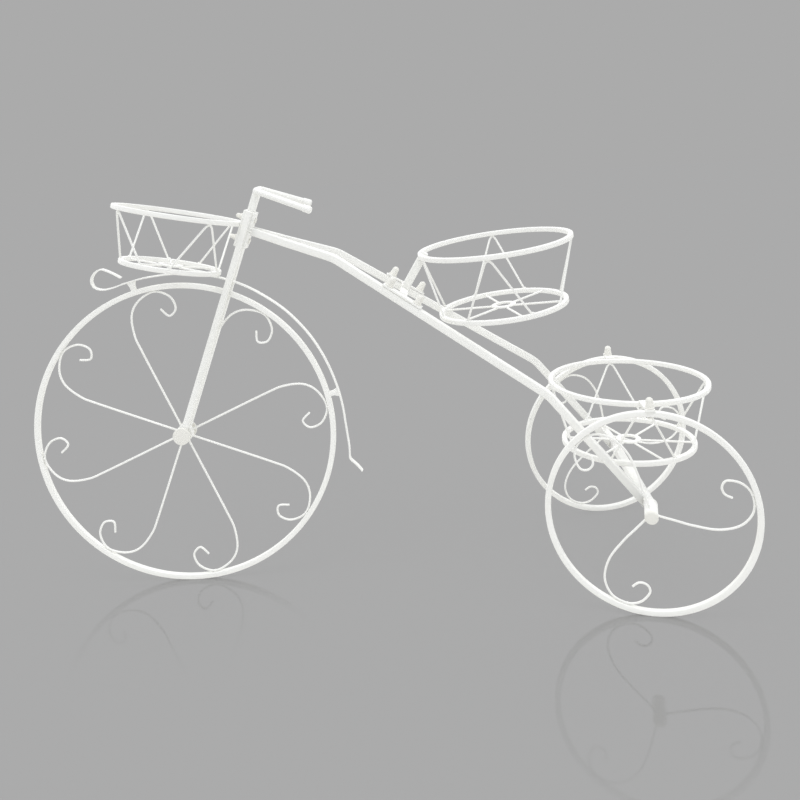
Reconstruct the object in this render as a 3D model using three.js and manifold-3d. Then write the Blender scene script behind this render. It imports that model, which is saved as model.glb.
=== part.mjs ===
// A white painted steel plant stand in the shape of an old high-wheel tricycle.
// Sizes are millimetres. +X runs from the front wheel to the rear wheels, +Y away from the near side, +Z up.
// The front axle stands at x = 0 while the stand is built, and the last lines centre it on the floor.
import * as THREE from "three";
import { mergeVertices } from "three/addons/utils/BufferGeometryUtils.js";
import Module from "manifold-3d";

const wasm = await Module();
wasm.setup();

const degrees = Math.PI / 180;
const vec = (x, y, z) => new THREE.Vector3(x, y, z);
const SIDES = { near: -1, far: 1 };
const AXIS_Y = vec(0, 1, 0);
const AXIS_Z = vec(0, 0, 1);

// Clearance between pieces that touch, how far a cutter runs past what it cuts, the broken edge of
// turned pieces, and the distance within which two points of a mesh are one.
const seat = 0.3;
const overrun = 20;
const edgeBreak = 1;
const samePoint = 1e-4;

// Stock that several pieces are made of.
const wireDiameter = 3;
const wireSides = 5;
const barWidth = 10.6;
const barCorner = 1.2;
const boltDiameter = 5;
const boltHole = 5.6;
const thinBoltDiameter = 4;
const thinBoltHole = 4.6;
const axleDiameter = 6;
const axleHole = 6.6;
const plateThickness = 3;

// Front wheel.
const frontRimRadius = 215;
const frontRimTube = 7.5;
const frontHubDiameter = 24;
const frontSpokeCount = 8;
const frontSpokeStart = 23.1 * degrees;
const frontSegments = 96;

// Rear wheels. They splay outwards towards the back, and the far one leans in at its top.
const rearRimRadius = 129;
const rearRimTube = 7.5;
const rearHubDiameter = 17;
const rearHubOuter = 9.3;
const rearHubInner = 28;
const rearSpokeCount = 3;
const rearSpokeStart = -14 * degrees;
const rearSegments = 90;
const rearAxleReach = 6;
const rearCapHeight = 4;
const rearAxleX = 631;
const halfTrack = 148;
const farInset = 5;
const tracks = { near: halfTrack, far: halfTrack - farInset };
const splays = { near: 12.6 * degrees, far: 8 * degrees };
const leans = { near: 0, far: 6.8 * degrees };

// Fork, stem and handlebar. Heights on the stem are measured from the front axle along its lean.
const stemLean = 20.98 * degrees;
const legWidth = 8.6;
const legFoot = 8;
const stemClearance = 43;
const stemBottom = frontRimRadius + stemClearance;
const axleHeadDiameter = 24.8;
const axleHeadThickness = 3.2;
const handleTube = 9;
const handleHalfStart = 14;
const handleHalfEnd = 30;
const handleBend = 9;
const handleReaches = { near: 87, far: 79 };
const handleRoll = 2.6 * degrees;
const gripDiameter = 11.4;
const gripLength = 12.5;
const gripEndWall = 2.5;

// Head joint: two plates and two bolts clamp the stem between the legs' upper ends.
const headPlateLift = 26;
const headPlateFoot = stemBottom + headPlateLift;
const headPlateLength = 53;
const headPlateWidth = 20;
const legTop = headPlateFoot + headPlateLength;
const headMiddle = (headPlateFoot + legTop) / 2;
const headBoltInset = 11;
const headBoltHeights = [headPlateFoot + headBoltInset, legTop - headBoltInset];
const handleRise = 31.4;
const barHeight = legTop + handleRise;
const headBoltHeadDiameter = 8.5;
const headBoltHeadThickness = 3.2;
const headNutDiameter = 8.6;
const headNutHeight = 10.5;
const headNutHexHeight = 4;
const headNutDomeDiameter = 6.6;

// Frame bars: side by side at the head, then spread, and down to the beam between the rear hubs.
// The first two corners are counted from the head joint and the third from the beam. The far bar
// stands a little higher than the near one.
const spreadStart = { back: 48.8, down: 18.1 };
const firstBend = { back: 125, down: 44.7 };
const secondBend = { ahead: 118.8, up: 140.4 };
const barTwist = 1.5;
const barInset = 38.2;
const bendRadius = 60;
const beamBack = 5;
const beamWidth = 12;

// Mudguard strip above the front wheel, and the two stays that hold it off the rim.
const guardWidth = 8;
const guardThickness = 2;
const guardSamples = 44;
const guardFineness = 8;
const curlShare = 1.095;
const stayAngles = { front: 104.8 * degrees, rear: 12.2 * degrees };
const stayFootWidth = 7;
const stayHeadWidth = 13;
const stayDepth = 6;

// Bracket that carries the middle basket on the two bars, counted from their first bend.
const bracketBack = 94.3;
const bracketPlateLength = 62;
const bracketPlateWidth = 12;
const bracketBoltPitch = 46;
const bracketBoltReach = 8;
const strutWidth = 11.6;
const strutInset = 5;
const capNutBase = 12;
const capNutDome = 10;
const capNutHeight = 14;
const capNutFlange = 2.5;
const domeShares = { across: 0.7, down: 0.3 };

// Baskets. The centre is that of the top ring, tilt turns it about Y and roll about X. The front one
// is placed from the head joint, the middle one from its bracket, along the bars and square to
// them, and the rear one from the top of the rear rims.
// The side wires aren't evenly spaced: each row has the angles of a foot, a peak and a foot.
const basketRingTube = 6.8;
const basketBaseTube = 6.8;
const hubRingOuter = 35;
const hubRingInner = 22;
const hubRingThickness = 2.5;
const peakFall = 7;
const floorWireCount = 6;
const ringSegments = 60;
const baseSegments = 48;
const rearBasketInset = 39;
const rearBaseInset = 57.3;
const baskets = {
  front: {
    back: -94.4, up: 25.9, top: 87, base: 66.5, depth: 73.8,
    tilt: -12.2 * degrees, roll: -4.2 * degrees, 
    wires: [[10, 44, 72], [108, 135, 170], [202, 228, 256], [284, 319, 360]],
  },
  middle: {
    back: 71.6, up: 130.2, top: 106.5, base: 88.8, depth: 89.8,
    tilt: 5.1 * degrees, roll: 2 * degrees, strutAt: 2,
    wires: [[325, 352, 378], [64, 89, 116], [158, 186, 214], [232, 261, 292]],
  },
  rear: {
    back: 8.6, up: -4.6, top: halfTrack - rearBasketInset, base: halfTrack - rearBaseInset,
    depth: 86.1, tilt: -1.8 * degrees, roll: 0,
    wires: [[328, 359, 389], [62, 92, 122], [154, 180, 204], [242, 268, 300]],
  },
};

// Cranked lugs that bolt the rear basket's top ring to the tops of the rear rims.
const lugWidth = 12;
const lugBack = 3;
const lugOverhang = 6;
const lugCrank = 4;
const thinHeadDiameter = 7;
const thinHeadThickness = 2.5;

// White powder coat on steel, and white plastic for the end caps.
const paint = new THREE.MeshStandardMaterial({ color: 0xf1f0ea, roughness: 0.38, metalness: 0.0 });
const zinc = new THREE.MeshStandardMaterial({ color: 0xe9e8e2, roughness: 0.45, metalness: 0.1 });
const plastic = new THREE.MeshStandardMaterial({ color: 0xf6f6f2, roughness: 0.5, metalness: 0.0 });

// Booleans: a closed geometry becomes a solid and comes back.
function solid(geometry) {
  const bare = new THREE.BufferGeometry();
  bare.setAttribute("position", geometry.getAttribute("position").clone());
  if (geometry.index) bare.setIndex(geometry.index.clone());
  const merged = mergeVertices(bare, samePoint);
  return new wasm.Manifold(new wasm.Mesh({
    numProp: 3,
    vertProperties: new Float32Array(merged.attributes.position.array),
    triVerts: new Uint32Array(merged.index.array),
  }));
}

function geometryOf(body) {
  const mesh = body.getMesh();
  const geometry = new THREE.BufferGeometry();
  geometry.setAttribute("position", new THREE.BufferAttribute(new Float32Array(mesh.vertProperties), 3));
  geometry.setIndex(new THREE.BufferAttribute(new Uint32Array(mesh.triVerts), 1));
  geometry.computeVertexNormals();
  return geometry;
}

const join = (...parts) => geometryOf(parts.map(solid).reduce((whole, part) => whole.add(part)));
const cut = (part, ...tools) => geometryOf(tools.map(solid).reduce((left, tool) => left.subtract(tool), solid(part)));

// Sections for the sweep: a round wire, a square tube with broken corners and a flat strip.
function roundSection(diameter, sides) {
  const corner = (i) => (2 * Math.PI * i) / sides;
  return Array.from({ length: sides }, (_, i) => [
    (diameter / 2) * Math.cos(corner(i)),
    (diameter / 2) * Math.sin(corner(i)),
  ]);
}

function rectangle(width, height) {
  const [w, h] = [width / 2, height / 2];
  return [[w, -h], [w, h], [-w, h], [-w, -h]];
}

function boxSection(width, height, corner) {
  const [w, h] = [width / 2, height / 2];
  return [
    [w, -h + corner], [w, h - corner], [w - corner, h], [-w + corner, h],
    [-w, h - corner], [-w, -h + corner], [-w + corner, -h], [w - corner, -h],
  ];
}

// Sweeps a convex section along points. side gives the direction of the section's first axis.
// Each ring lies in the plane that halves the bend, so straight runs keep their full section.
function sweep(points, section, side) {
  const count = section.length;
  const positions = [];
  points.forEach((point, i) => {
    const before = point.clone().sub(points[Math.max(i - 1, 0)]);
    const after = points[Math.min(i + 1, points.length - 1)].clone().sub(point);
    if (i === 0) before.copy(after);
    if (i === points.length - 1) after.copy(before);
    const tangent = before.normalize().clone().add(after.normalize()).normalize();
    const across = typeof side === "function" ? side(tangent) : side;
    const up = tangent.clone().cross(across).normalize();
    const stretch = 1 / Math.max(tangent.dot(after), 0.5);
    for (const [u, v] of section) {
      const corner = point.clone().addScaledVector(across, u).addScaledVector(up, v * stretch);
      positions.push(corner.x, corner.y, corner.z);
    }
  });
  const faces = [];
  for (let i = 0; i + 1 < points.length; i++) {
    for (let k = 0; k < count; k++) {
      const [a, b] = [i * count + k, i * count + ((k + 1) % count)];
      faces.push(a, b, b + count, a, b + count, a + count);
    }
  }
  const last = (points.length - 1) * count;
  for (let k = 1; k + 1 < count; k++) {
    faces.push(0, k + 1, k);
    faces.push(last, last + k, last + k + 1);
  }
  const geometry = new THREE.BufferGeometry();
  geometry.setAttribute("position", new THREE.Float32BufferAttribute(positions, 3));
  geometry.setIndex(faces);
  geometry.computeVertexNormals();
  return geometry;
}

// A bar keeps two of its faces upright, so its first axis stays level.
const levelSide = (tangent) => AXIS_Z.clone().cross(tangent).normalize();

// Replaces the inner corners of a polyline by arcs.
function rounded(points, radius, steps) {
  const path = [points[0]];
  for (let i = 1; i + 1 < points.length; i++) {
    const corner = points[i];
    const back = points[i - 1].clone().sub(corner).normalize();
    const ahead = points[i + 1].clone().sub(corner).normalize();
    const reach = radius / Math.tan(back.angleTo(ahead) / 2);
    const arc = new THREE.QuadraticBezierCurve3(
      corner.clone().addScaledVector(back, reach),
      corner,
      corner.clone().addScaledVector(ahead, reach),
    );
    path.push(...arc.getPoints(steps));
  }
  path.push(points[points.length - 1]);
  return path;
}

// Turned pieces: a profile of [radius, height] points, spun about Y.
function turned(profile, segments = 10) {
  return new THREE.LatheGeometry(profile.map(([r, y]) => new THREE.Vector2(r, y)), segments);
}

function rod(diameter, from, to, segments = 10) {
  return turned([[0, from], [diameter / 2, from], [diameter / 2, to], [0, to]], segments);
}

// A hoop of square tube, spun about Y.
function hoop(radius, tube, segments) {
  const [inner, outer, half] = [radius - tube / 2, radius + tube / 2, tube / 2];
  return turned([[inner, -half], [outer, -half], [outer, half], [inner, half], [inner, -half]], segments);
}

function box(x, y, z) {
  return new THREE.BoxGeometry(x, y, z);
}

// Puts a geometry into a frame given by its origin and two of its axes.
function placed(geometry, origin, xAxis, yAxis) {
  const zAxis = xAxis.clone().cross(yAxis).normalize();
  const frame = new THREE.Matrix4().makeBasis(xAxis, yAxis, zAxis).setPosition(origin);
  return geometry.clone().applyMatrix4(frame);
}

function mesh(name, geometry, material = paint) {
  const made = new THREE.Mesh(geometry, material);
  made.name = name;
  return made;
}

// Frame of the stem: along is up the stem, rearward is square to it and points back and down.
const along = vec(Math.sin(stemLean), 0, Math.cos(stemLean));
const rearward = vec(Math.cos(stemLean), 0, -Math.sin(stemLean));
const frontAxle = vec(0, 0, frontRimRadius + frontRimTube / 2);
const legOffset = barWidth / 2 + seat + legWidth / 2;
const legOuter = legOffset + legWidth / 2;
const onStem = (height, back = 0, y = 0) => frontAxle.clone()
  .addScaledVector(along, height)
  .addScaledVector(rearward, back)
  .addScaledVector(AXIS_Y, y);
// Geometry drawn with X rearward, Y across and Z up the stem.
const inStem = (geometry, height) => placed(geometry, onStem(height), rearward, AXIS_Y);

// A point of a wheel, in its own plane, at an angle from +X towards +Z.
const polar = (radius, angle) => vec(radius * Math.cos(angle), 0, radius * Math.sin(angle));

// A scrolled spoke: straight out of the hub, round against the rim and back in an open curl.
// Each row is an angle from the straight stretch and a share of the reach to the rim.
function spoke(scrollShares, hubRadius, reach, samples) {
  const start = polar(hubRadius + seat, 0);
  const knots = scrollShares.map(([angle, share]) => polar(share * reach, angle * degrees));
  const scroll = new THREE.CatmullRomCurve3(knots, false, "centripetal").getPoints(samples);
  const farthest = Math.max(...scroll.map((point) => point.length()));
  for (const point of scroll) point.multiplyScalar(reach / farthest);
  return sweep([start, ...scroll], roundSection(wireDiameter, wireSides), AXIS_Y);
}

function wheel({ name, rim, rimRadius, rimTube, spokeCount, spokeStart, scrollShares, hub }) {
  const group = new THREE.Group();
  const reach = rimRadius - rimTube / 2 - wireDiameter / 2 - seat;
  group.add(mesh(name("rim"), rim));
  for (let i = 0; i < spokeCount; i++) {
    const made = mesh(name("spoke_" + (i + 1)), spoke(scrollShares, hub / 2, reach, spokeSamples));
    made.rotation.y = -(spokeStart + (2 * Math.PI * i) / spokeCount);
    group.add(made);
  }
  return group;
}

const frontRim = (grow) => hoop(frontRimRadius, frontRimTube + 2 * grow, frontSegments);

const frontScrollShares = [
  [0, 0.62], [-0.6, 0.76], [-3.6, 0.89], [-8.6, 0.965], [-15.6, 1], [-21.5, 0.952],
  [-23.6, 0.869], [-20.3, 0.82], [-16.8, 0.875],
];
const rearScrollShares = [
  [0, 0.42], [2.6, 0.66], [9, 0.86], [18, 0.978], [28, 1], [35.8, 0.945],
  [41, 0.83], [38.5, 0.755], [32.5, 0.75], [28.5, 0.81],
];
const spokeSamples = 17;

function frontWheel() {
  const group = wheel({
    name: (piece) => "front_" + piece,
    rim: frontRim(0),
    rimRadius: frontRimRadius,
    rimTube: frontRimTube,
    spokeCount: frontSpokeCount,
    spokeStart: frontSpokeStart,
    scrollShares: frontScrollShares,
    hub: frontHubDiameter,
  });
  const half = legOffset - legWidth / 2 - seat;
  group.add(mesh("front_hub", turned([
    [axleHole / 2, -half], [frontHubDiameter / 2, -half],
    [frontHubDiameter / 2, half], [axleHole / 2, half], [axleHole / 2, -half],
  ], 20)));
  group.add(mesh("mudguard", mudguard(0)));
  for (const [end, angle] of Object.entries(stayAngles)) {
    group.add(mesh("mudguard_stay_" + end, mudguardStay(angle)));
  }
  group.position.copy(frontAxle);
  return group;
}

// Mudguard strip: a curl in front, a long even run over the wheel and a kicked-out tail.
// Each row is an angle in degrees and a share of the front rim's radius.
const guardShares = [
  [107.6, 1.125], [109.2, 1.164], [110.8, 1.2], [112.2, 1.226], [114, 1.229], [115.8, 1.213],
  [117, 1.182], [117, 1.138], [114.8, 1.1], [111.2, 1.083], [107, 1.08], [99, 1.077],
  [88, 1.078], [77, 1.083], [66.7, 1.085], [57.4, 1.075], [46.7, 1.063], [35.4, 1.052],
  [25.1, 1.048], [15.3, 1.057], [7.4, 1.069], [-0.4, 1.083], [-7.2, 1.107], [-10.6, 1.118],
];
const tailShares = [[-12.2, 1.128], [-15.3, 1.22]];
const guardPoint = ([angle, share]) => polar(share * frontRimRadius, angle * degrees);
const guardCurve = new THREE.CatmullRomCurve3(guardShares.map(guardPoint), false, "centripetal");

function mudguard(grow) {
  const path = [...guardCurve.getPoints(guardSamples), ...tailShares.map(guardPoint)];
  return sweep(path, rectangle(guardWidth + 2 * grow, guardThickness + 2 * grow), AXIS_Y);
}

// Radius of the strip's middle over a given angle, read from the same curve.
function guardRadiusAt(angle) {
  const run = guardCurve.getPoints(guardSamples * guardFineness)
    .filter((p) => p.length() < frontRimRadius * curlShare);
  const nearest = run.reduce((best, p) => {
    const off = Math.abs(Math.atan2(p.z, p.x) - angle);
    return off < best.off ? { off, radius: p.length() } : best;
  }, { off: Infinity, radius: 0 });
  return nearest.radius;
}

// A stay stands on the rim, saddled to its tube, and flares under the strip.
function mudguardStay(angle) {
  const foot = frontRimRadius + frontRimTube / 4;
  const head = guardRadiusAt(angle);
  const waist = (foot + head) / 2;
  const outline = new THREE.Shape([
    new THREE.Vector2(-stayFootWidth / 2, foot), new THREE.Vector2(stayFootWidth / 2, foot),
    new THREE.Vector2(stayFootWidth / 2, waist), new THREE.Vector2(stayHeadWidth / 2, head),
    new THREE.Vector2(-stayHeadWidth / 2, head), new THREE.Vector2(-stayFootWidth / 2, waist),
  ]);
  const block = new THREE.ExtrudeGeometry(outline, { depth: stayDepth, bevelEnabled: false });
  block.translate(0, 0, -stayDepth / 2).rotateX(Math.PI / 2).rotateY(Math.PI / 2 - angle);
  return cut(block, frontRim(seat), mudguard(seat));
}

// Fork legs, stem and the axle that carries the front wheel.
function fork() {
  const group = new THREE.Group();
  const axleBore = rod(axleHole, -legOuter - overrun, legOuter + overrun)
    .translate(frontAxle.x, frontAxle.y, frontAxle.z);
  for (const [name, sign] of Object.entries(SIDES)) {
    const ends = [onStem(-legFoot, 0, sign * legOffset), onStem(legTop, 0, sign * legOffset)];
    const leg = sweep(ends, boxSection(legWidth, legWidth, barCorner), AXIS_Y);
    group.add(mesh("fork_leg_" + name, cut(leg, axleBore)));
  }
  const stemTop = barHeight - handleTube / 2 - seat - (barWidth / 2) * Math.tan(handleRoll);
  const stem = sweep([onStem(stemBottom), onStem(stemTop)], boxSection(barWidth, barWidth, barCorner), AXIS_Y);
  group.add(mesh("stem", cut(stem, ...headBoltHeights.map(headBore))));
  const inner = legOuter + seat;
  const outer = inner + axleHeadThickness;
  const middle = (inner + outer) / 2;
  const radius = axleHeadDiameter / 2;
  const bolt = mesh("front_axle_bolt", turned([
    [0, -outer], [radius - edgeBreak, -outer], [radius, -outer + edgeBreak], [radius, -inner],
    [axleDiameter / 2, -inner], [axleDiameter / 2, middle - seat], [0, middle - seat],
  ], 20), zinc);
  const nut = mesh("front_axle_nut", turned([
    [0, middle], [axleHole / 2, middle], [axleHole / 2, inner], [radius, inner],
    [radius, outer - edgeBreak], [radius - edgeBreak, outer], [0, outer],
  ], 20), zinc);
  bolt.position.copy(frontAxle);
  nut.position.copy(frontAxle);
  group.add(bolt, nut);
  return group;
}

const headBore = (height) => inStem(rod(boltHole, -overrun, overrun).rotateZ(-Math.PI / 2), height);

// The handlebar is one bent tube on the stem's top, with a plastic cap on each end.
function handlebar() {
  const group = new THREE.Group();
  const tubeEnd = (side) => handleReaches[side] - gripEndWall - seat;
  const at = (back, across) => (
    onStem(barHeight + across * Math.sin(handleRoll), back, across * Math.cos(handleRoll)));
  const corners = [
    at(tubeEnd("near"), -handleHalfEnd), at(0, -handleHalfStart),
    at(0, handleHalfStart), at(tubeEnd("far"), handleHalfEnd),
  ];
  group.add(mesh("handlebar", sweep(rounded(corners, handleBend, 5), roundSection(handleTube, 10), along)));
  for (const [name, sign] of Object.entries(SIDES)) {
    const end = at(tubeEnd(name), sign * handleHalfEnd);
    const out = end.clone().sub(at(0, sign * handleHalfStart)).normalize();
    const aside = out.clone().cross(along).normalize();
    const bore = handleTube / 2 + seat;
    const cap = turned([
      [0, seat], [bore, seat], [bore, gripEndWall + seat - gripLength],
      [gripDiameter / 2, gripEndWall + seat - gripLength], [gripDiameter / 2, seat],
      [gripDiameter / 2 - edgeBreak, gripEndWall + seat - edgeBreak / 2], [0, gripEndWall + seat],
    ], 14);
    group.add(mesh("grip_cap_" + name, placed(cap, end, aside, out), plastic));
  }
  return group;
}

// Head joint: the frame's end plate behind the stem, and two bolts with cap nuts in front.
function headPlate(back) {
  const plate = box(plateThickness, headPlateWidth, headPlateLength);
  const put = placed(plate, onStem(headMiddle, back), rearward, AXIS_Y);
  return cut(put, ...headBoltHeights.map(headBore));
}

const plateBack = barWidth / 2 + seat + plateThickness / 2;

function headBolts() {
  const group = new THREE.Group();
  const face = plateBack + plateThickness / 2 + seat;
  ["lower", "upper"].forEach((name, i) => {
    const [tip, dome, head] = [-face - headNutHeight, headNutDomeDiameter / 2, headBoltHeadDiameter / 2];
    const shape = turned([
      [0, tip], [dome / 2, tip + dome / 4], [dome, tip + dome], [dome, -face - headNutHexHeight],
      [headNutDiameter / 2, -face - headNutHexHeight], [headNutDiameter / 2, -face],
      [boltDiameter / 2, -face], [boltDiameter / 2, face], [head, face],
      [head, face + headBoltHeadThickness - edgeBreak],
      [head - edgeBreak, face + headBoltHeadThickness], [0, face + headBoltHeadThickness],
    ]).rotateZ(-Math.PI / 2);
    group.add(mesh("head_bolt_" + name, inStem(shape, headBoltHeights[i]), zinc));
  });
  return group;
}

// Frame bars. Both run side by side at the head, spread, and end on the front face of the axle beam.
const headFace = plateBack + plateThickness / 2 + seat;
const barOffset = barWidth / 2 + seat / 2;
const beamX = rearAxleX + beamBack;
const headPoint = onStem(headMiddle);

// The bars' corners, seen from the side.
function barCorners(sign) {
  const twist = sign * barTwist;
  const end = beamPoint(sign * (halfTrack - barInset));
  return {
    spread: vec(headPoint.x + spreadStart.back, 0, headPoint.z - spreadStart.down + twist),
    first: vec(headPoint.x + firstBend.back, 0, headPoint.z - firstBend.down + twist),
    second: vec(beamX - secondBend.ahead, 0, axleHeight("near") + secondBend.up + twist),
    end: end.setZ(end.z - beamWidth / 2),
  };
}

// Seen from above, each bar runs straight from where they spread to its end on the beam.
function barPoint(name, sign) {
  const corners = barCorners(sign);
  const share = (corners[name].x - corners.spread.x) / (beamX - corners.spread.x);
  const y = barOffset + share * (halfTrack - barInset - barOffset);
  return corners[name].clone().setY(sign * y);
}

function barPath(sign) {
  const head = onStem(headMiddle, headFace - plateThickness, sign * barOffset);
  return [head, ...["spread", "first", "second", "end"].map((name) => barPoint(name, sign))];
}

// A leaning wheel stands on the outer corner of its rim.
function axleHeight(side) {
  const half = rearRimTube / 2;
  return (rearRimRadius + half) * Math.cos(leans[side]) + half * Math.sin(leans[side]);
}

// A rear wheel's own frame: Z up in the plane of the wheel and Y across the stand.
function wheelPlace(side) {
  const sign = SIDES[side];
  return new THREE.Matrix4()
    .makeRotationZ(sign * splays[side])
    .multiply(new THREE.Matrix4().makeRotationX(sign * leans[side]))
    .setPosition(rearAxleX, sign * tracks[side], axleHeight(side));
}

// The same frame turned so that Y points out of the stand along the wheel's axle.
function wheelFrame(side) {
  const turn = new THREE.Matrix4().makeRotationZ(side === "near" ? Math.PI : 0);
  return wheelPlace(side).multiply(turn);
}

// The beam runs between the hubs' inner ends. This is the point of its middle line at a given Y.
function beamPoint(y) {
  const [near, far] = Object.keys(SIDES)
    .map((side) => vec(0, -rearHubInner - seat, 0).applyMatrix4(wheelFrame(side)));
  return vec(beamX, y, near.z + ((y - near.y) / (far.y - near.y)) * (far.z - near.z));
}

// The beam's ends are cut square to the wheels' axles and bored for the axle bolts.
function axleBeam() {
  const ends = [beamPoint(-halfTrack), beamPoint(halfTrack)];
  const beam = sweep(ends, rectangle(beamWidth, beamWidth), vec(1, 0, 0));
  const tools = Object.keys(SIDES).flatMap((side) => [
    box(4 * overrun, 4 * overrun, 4 * overrun)
      .translate(0, 2 * overrun - rearHubInner - seat, 0).applyMatrix4(wheelFrame(side)),
    rod(axleHole, -rearHubInner - rearAxleReach - seat, 0).applyMatrix4(wheelFrame(side)),
  ]);
  return cut(beam, ...tools);
}

// The frame of the bar's long straight run, at the place of the bracket.
function barFrame(sign) {
  const bend1 = barPoint("first", sign);
  const bend2 = barPoint("second", sign);
  const run = bend2.clone().sub(bend1).normalize();
  const origin = bend1.clone().addScaledVector(run, bracketBack / run.x);
  const across = levelSide(run);
  return { origin, run, across, up: run.clone().cross(across).normalize() };
}

// The middle between the two bars there, and the way they run.
function bracketFrame() {
  const [near, far] = [barFrame(SIDES.near), barFrame(SIDES.far)];
  const origin = near.origin.clone().lerp(far.origin, 1 / 2);
  return { origin, run: near.run.clone().add(far.run).setY(0).normalize() };
}

function onBar(geometry, sign, shift, lift) {
  const { origin, run, across, up } = barFrame(sign);
  const at = origin.clone().addScaledVector(run, shift).addScaledVector(up, lift);
  return placed(geometry, at, run, across);
}

const bracketBoltShifts = [-bracketBoltPitch / 2, bracketBoltPitch / 2];
// Vertical pieces on a bar are turned about Y, so they are laid over to stand on its upper face.
const upright = (geometry) => geometry.rotateX(Math.PI / 2);

function frameBars() {
  const group = new THREE.Group();
  const headSide = inStem(box(2 * overrun, 4 * overrun, 4 * overrun).translate(headFace - overrun, 0, 0), headMiddle);
  const beamFront = beamX - beamWidth / 2 - seat;
  const beamSide = box(2 * overrun, 4 * halfTrack, 6 * overrun)
    .translate(beamFront + overrun, 0, axleHeight("near"));
  for (const [name, sign] of Object.entries(SIDES)) {
    const path = rounded(barPath(sign), bendRadius, 3);
    const bar = sweep(path, boxSection(barWidth, barWidth, barCorner), levelSide);
    const bores = bracketBoltShifts.map((shift) => (
      onBar(upright(rod(boltHole, barWidth / 2 - bracketBoltReach - seat, overrun, 8)), sign, shift, 0)));
    group.add(mesh("frame_bar_" + name, cut(bar, headSide, beamSide, ...bores)));
  }
  group.add(mesh("head_plate", headPlate(plateBack)));
  group.add(mesh("rear_axle_beam", axleBeam()));
  return group;
}

// Rear wheels: each rim is bored at its top for the rear basket's bolt.
function rearWheel(side) {
  const bore = rod(thinBoltHole, 0, rearRimRadius + overrun, 8).rotateX(Math.PI / 2);
  const drilled = cut(hoop(rearRimRadius, rearRimTube, rearSegments), bore.translate(lugBack, 0, 0));
  const group = wheel({
    name: (piece) => "rear_" + piece + "_" + side,
    rim: drilled,
    rimRadius: rearRimRadius,
    rimTube: rearRimTube,
    spokeCount: rearSpokeCount,
    spokeStart: rearSpokeStart,
    scrollShares: rearScrollShares,
    hub: rearHubDiameter,
  });
  group.applyMatrix4(wheelPlace(side));
  return group;
}

// A hub is a tube from the beam's end out past the spokes, and a round-headed bolt holds it.
function rearHub(side) {
  const radius = rearHubDiameter / 2;
  const hub = mesh("rear_hub_" + side, turned([
    [axleHole / 2, -rearHubInner], [radius, -rearHubInner], [radius, rearHubOuter],
    [axleHole / 2, rearHubOuter], [axleHole / 2, -rearHubInner],
  ], 20));
  const face = rearHubOuter + seat;
  const foot = -rearHubInner - rearAxleReach;
  const bolt = mesh("rear_axle_bolt_" + side, turned([
    [0, foot], [axleDiameter / 2, foot], [axleDiameter / 2, face], [radius, face],
    [radius, face + rearCapHeight / 2], [radius - rearCapHeight / 2, face + rearCapHeight],
    [0, face + rearCapHeight],
  ], 20), zinc);
  for (const piece of [hub, bolt]) piece.applyMatrix4(wheelFrame(side));
  return [hub, bolt];
}

const rearRimTop = rearRimRadius + rearRimTube / 2;

// Baskets: a top ring, a cage of side wires on a base ring, and a wired floor.
function basketCentre(name) {
  const { back, up } = baskets[name];
  if (name === "front") return headPoint.clone().add(vec(back, 0, up));
  if (name === "rear") return vec(rearAxleX + back, 0, axleHeight("near") + rearRimTop + up);
  const { origin, run } = bracketFrame();
  const square = vec(-run.z, 0, run.x);
  return origin.addScaledVector(run, back).addScaledVector(square, up);
}

function basketFrame(name) {
  const { tilt, roll } = baskets[name];
  return new THREE.Matrix4()
    .makeRotationY(-tilt)
    .multiply(new THREE.Matrix4().makeRotationX(roll))
    .setPosition(basketCentre(name));
}

function sideWire({ top, base, depth, wires, strutAt }, index) {
  const peakDrop = (basketRingTube + wireDiameter) / 2 + seat;
  const at = (radius, angle, height) => (
    vec(radius * Math.cos(angle * degrees), radius * Math.sin(angle * degrees), height));
  const inset = index === strutAt ? strutInset + strutWidth / 2 + wireDiameter / 2 + seat : 0;
  const [from, peak, to] = wires[index];
  const crown = at(top - inset, peak, -peakDrop);
  const feet = [at(base, from, -depth), at(base, to, -depth)];
  const middle = feet[0].clone().add(feet[1]).multiplyScalar(1 / 2);
  const outward = feet[1].clone().sub(feet[0]).cross(crown.clone().sub(middle)).normalize();
  // The two legs aim at a corner above the crown, and the bend starts as far below it.
  const height = crown.distanceTo(middle);
  const corner = middle.clone().lerp(crown, 1 + peakFall / height);
  const bendShare = (2 * peakFall) / (height + peakFall);
  const [start, end] = feet.map((foot) => corner.clone().lerp(foot, bendShare));
  const bend = new THREE.QuadraticBezierCurve3(start, corner, end).getPoints(4);
  return sweep([feet[0], ...bend, feet[1]], roundSection(wireDiameter, wireSides), outward);
}

function basketCage(spec) {
  const base = hoop(spec.base, basketBaseTube, baseSegments).rotateX(Math.PI / 2).translate(0, 0, -spec.depth);
  return join(base, ...spec.wires.map((_, i) => sideWire(spec, i)));
}

// The floor's wires run from the flat ring in the middle to the inside of the base ring.
function basketFloor({ base, depth }) {
  const from = (hubRingInner + hubRingOuter) / 4;
  const to = base - basketBaseTube / 2 - seat;
  const wires = Array.from({ length: floorWireCount }, (_, i) => {
    const wire = sweep([vec(from, 0, 0), vec(to, 0, 0)], roundSection(wireDiameter, wireSides), AXIS_Y);
    return wire.rotateZ((2 * Math.PI * i) / floorWireCount).translate(0, 0, -depth);
  });
  const half = hubRingThickness / 2;
  const centre = turned([
    [hubRingInner / 2, -half], [hubRingOuter / 2, -half], [hubRingOuter / 2, half],
    [hubRingInner / 2, half], [hubRingInner / 2, -half],
  ], 18).rotateX(Math.PI / 2).translate(0, 0, wireDiameter / 2 - depth);
  return join(centre, ...wires);
}

const topRing = (name) => (
  hoop(baskets[name].top, basketRingTube, ringSegments)
    .rotateX(Math.PI / 2).applyMatrix4(basketFrame(name)));

// The front basket's ring is welded to the plate in front of the stem.
function frontBasket() {
  return join(topRing("front"), headPlate(-plateBack));
}

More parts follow.
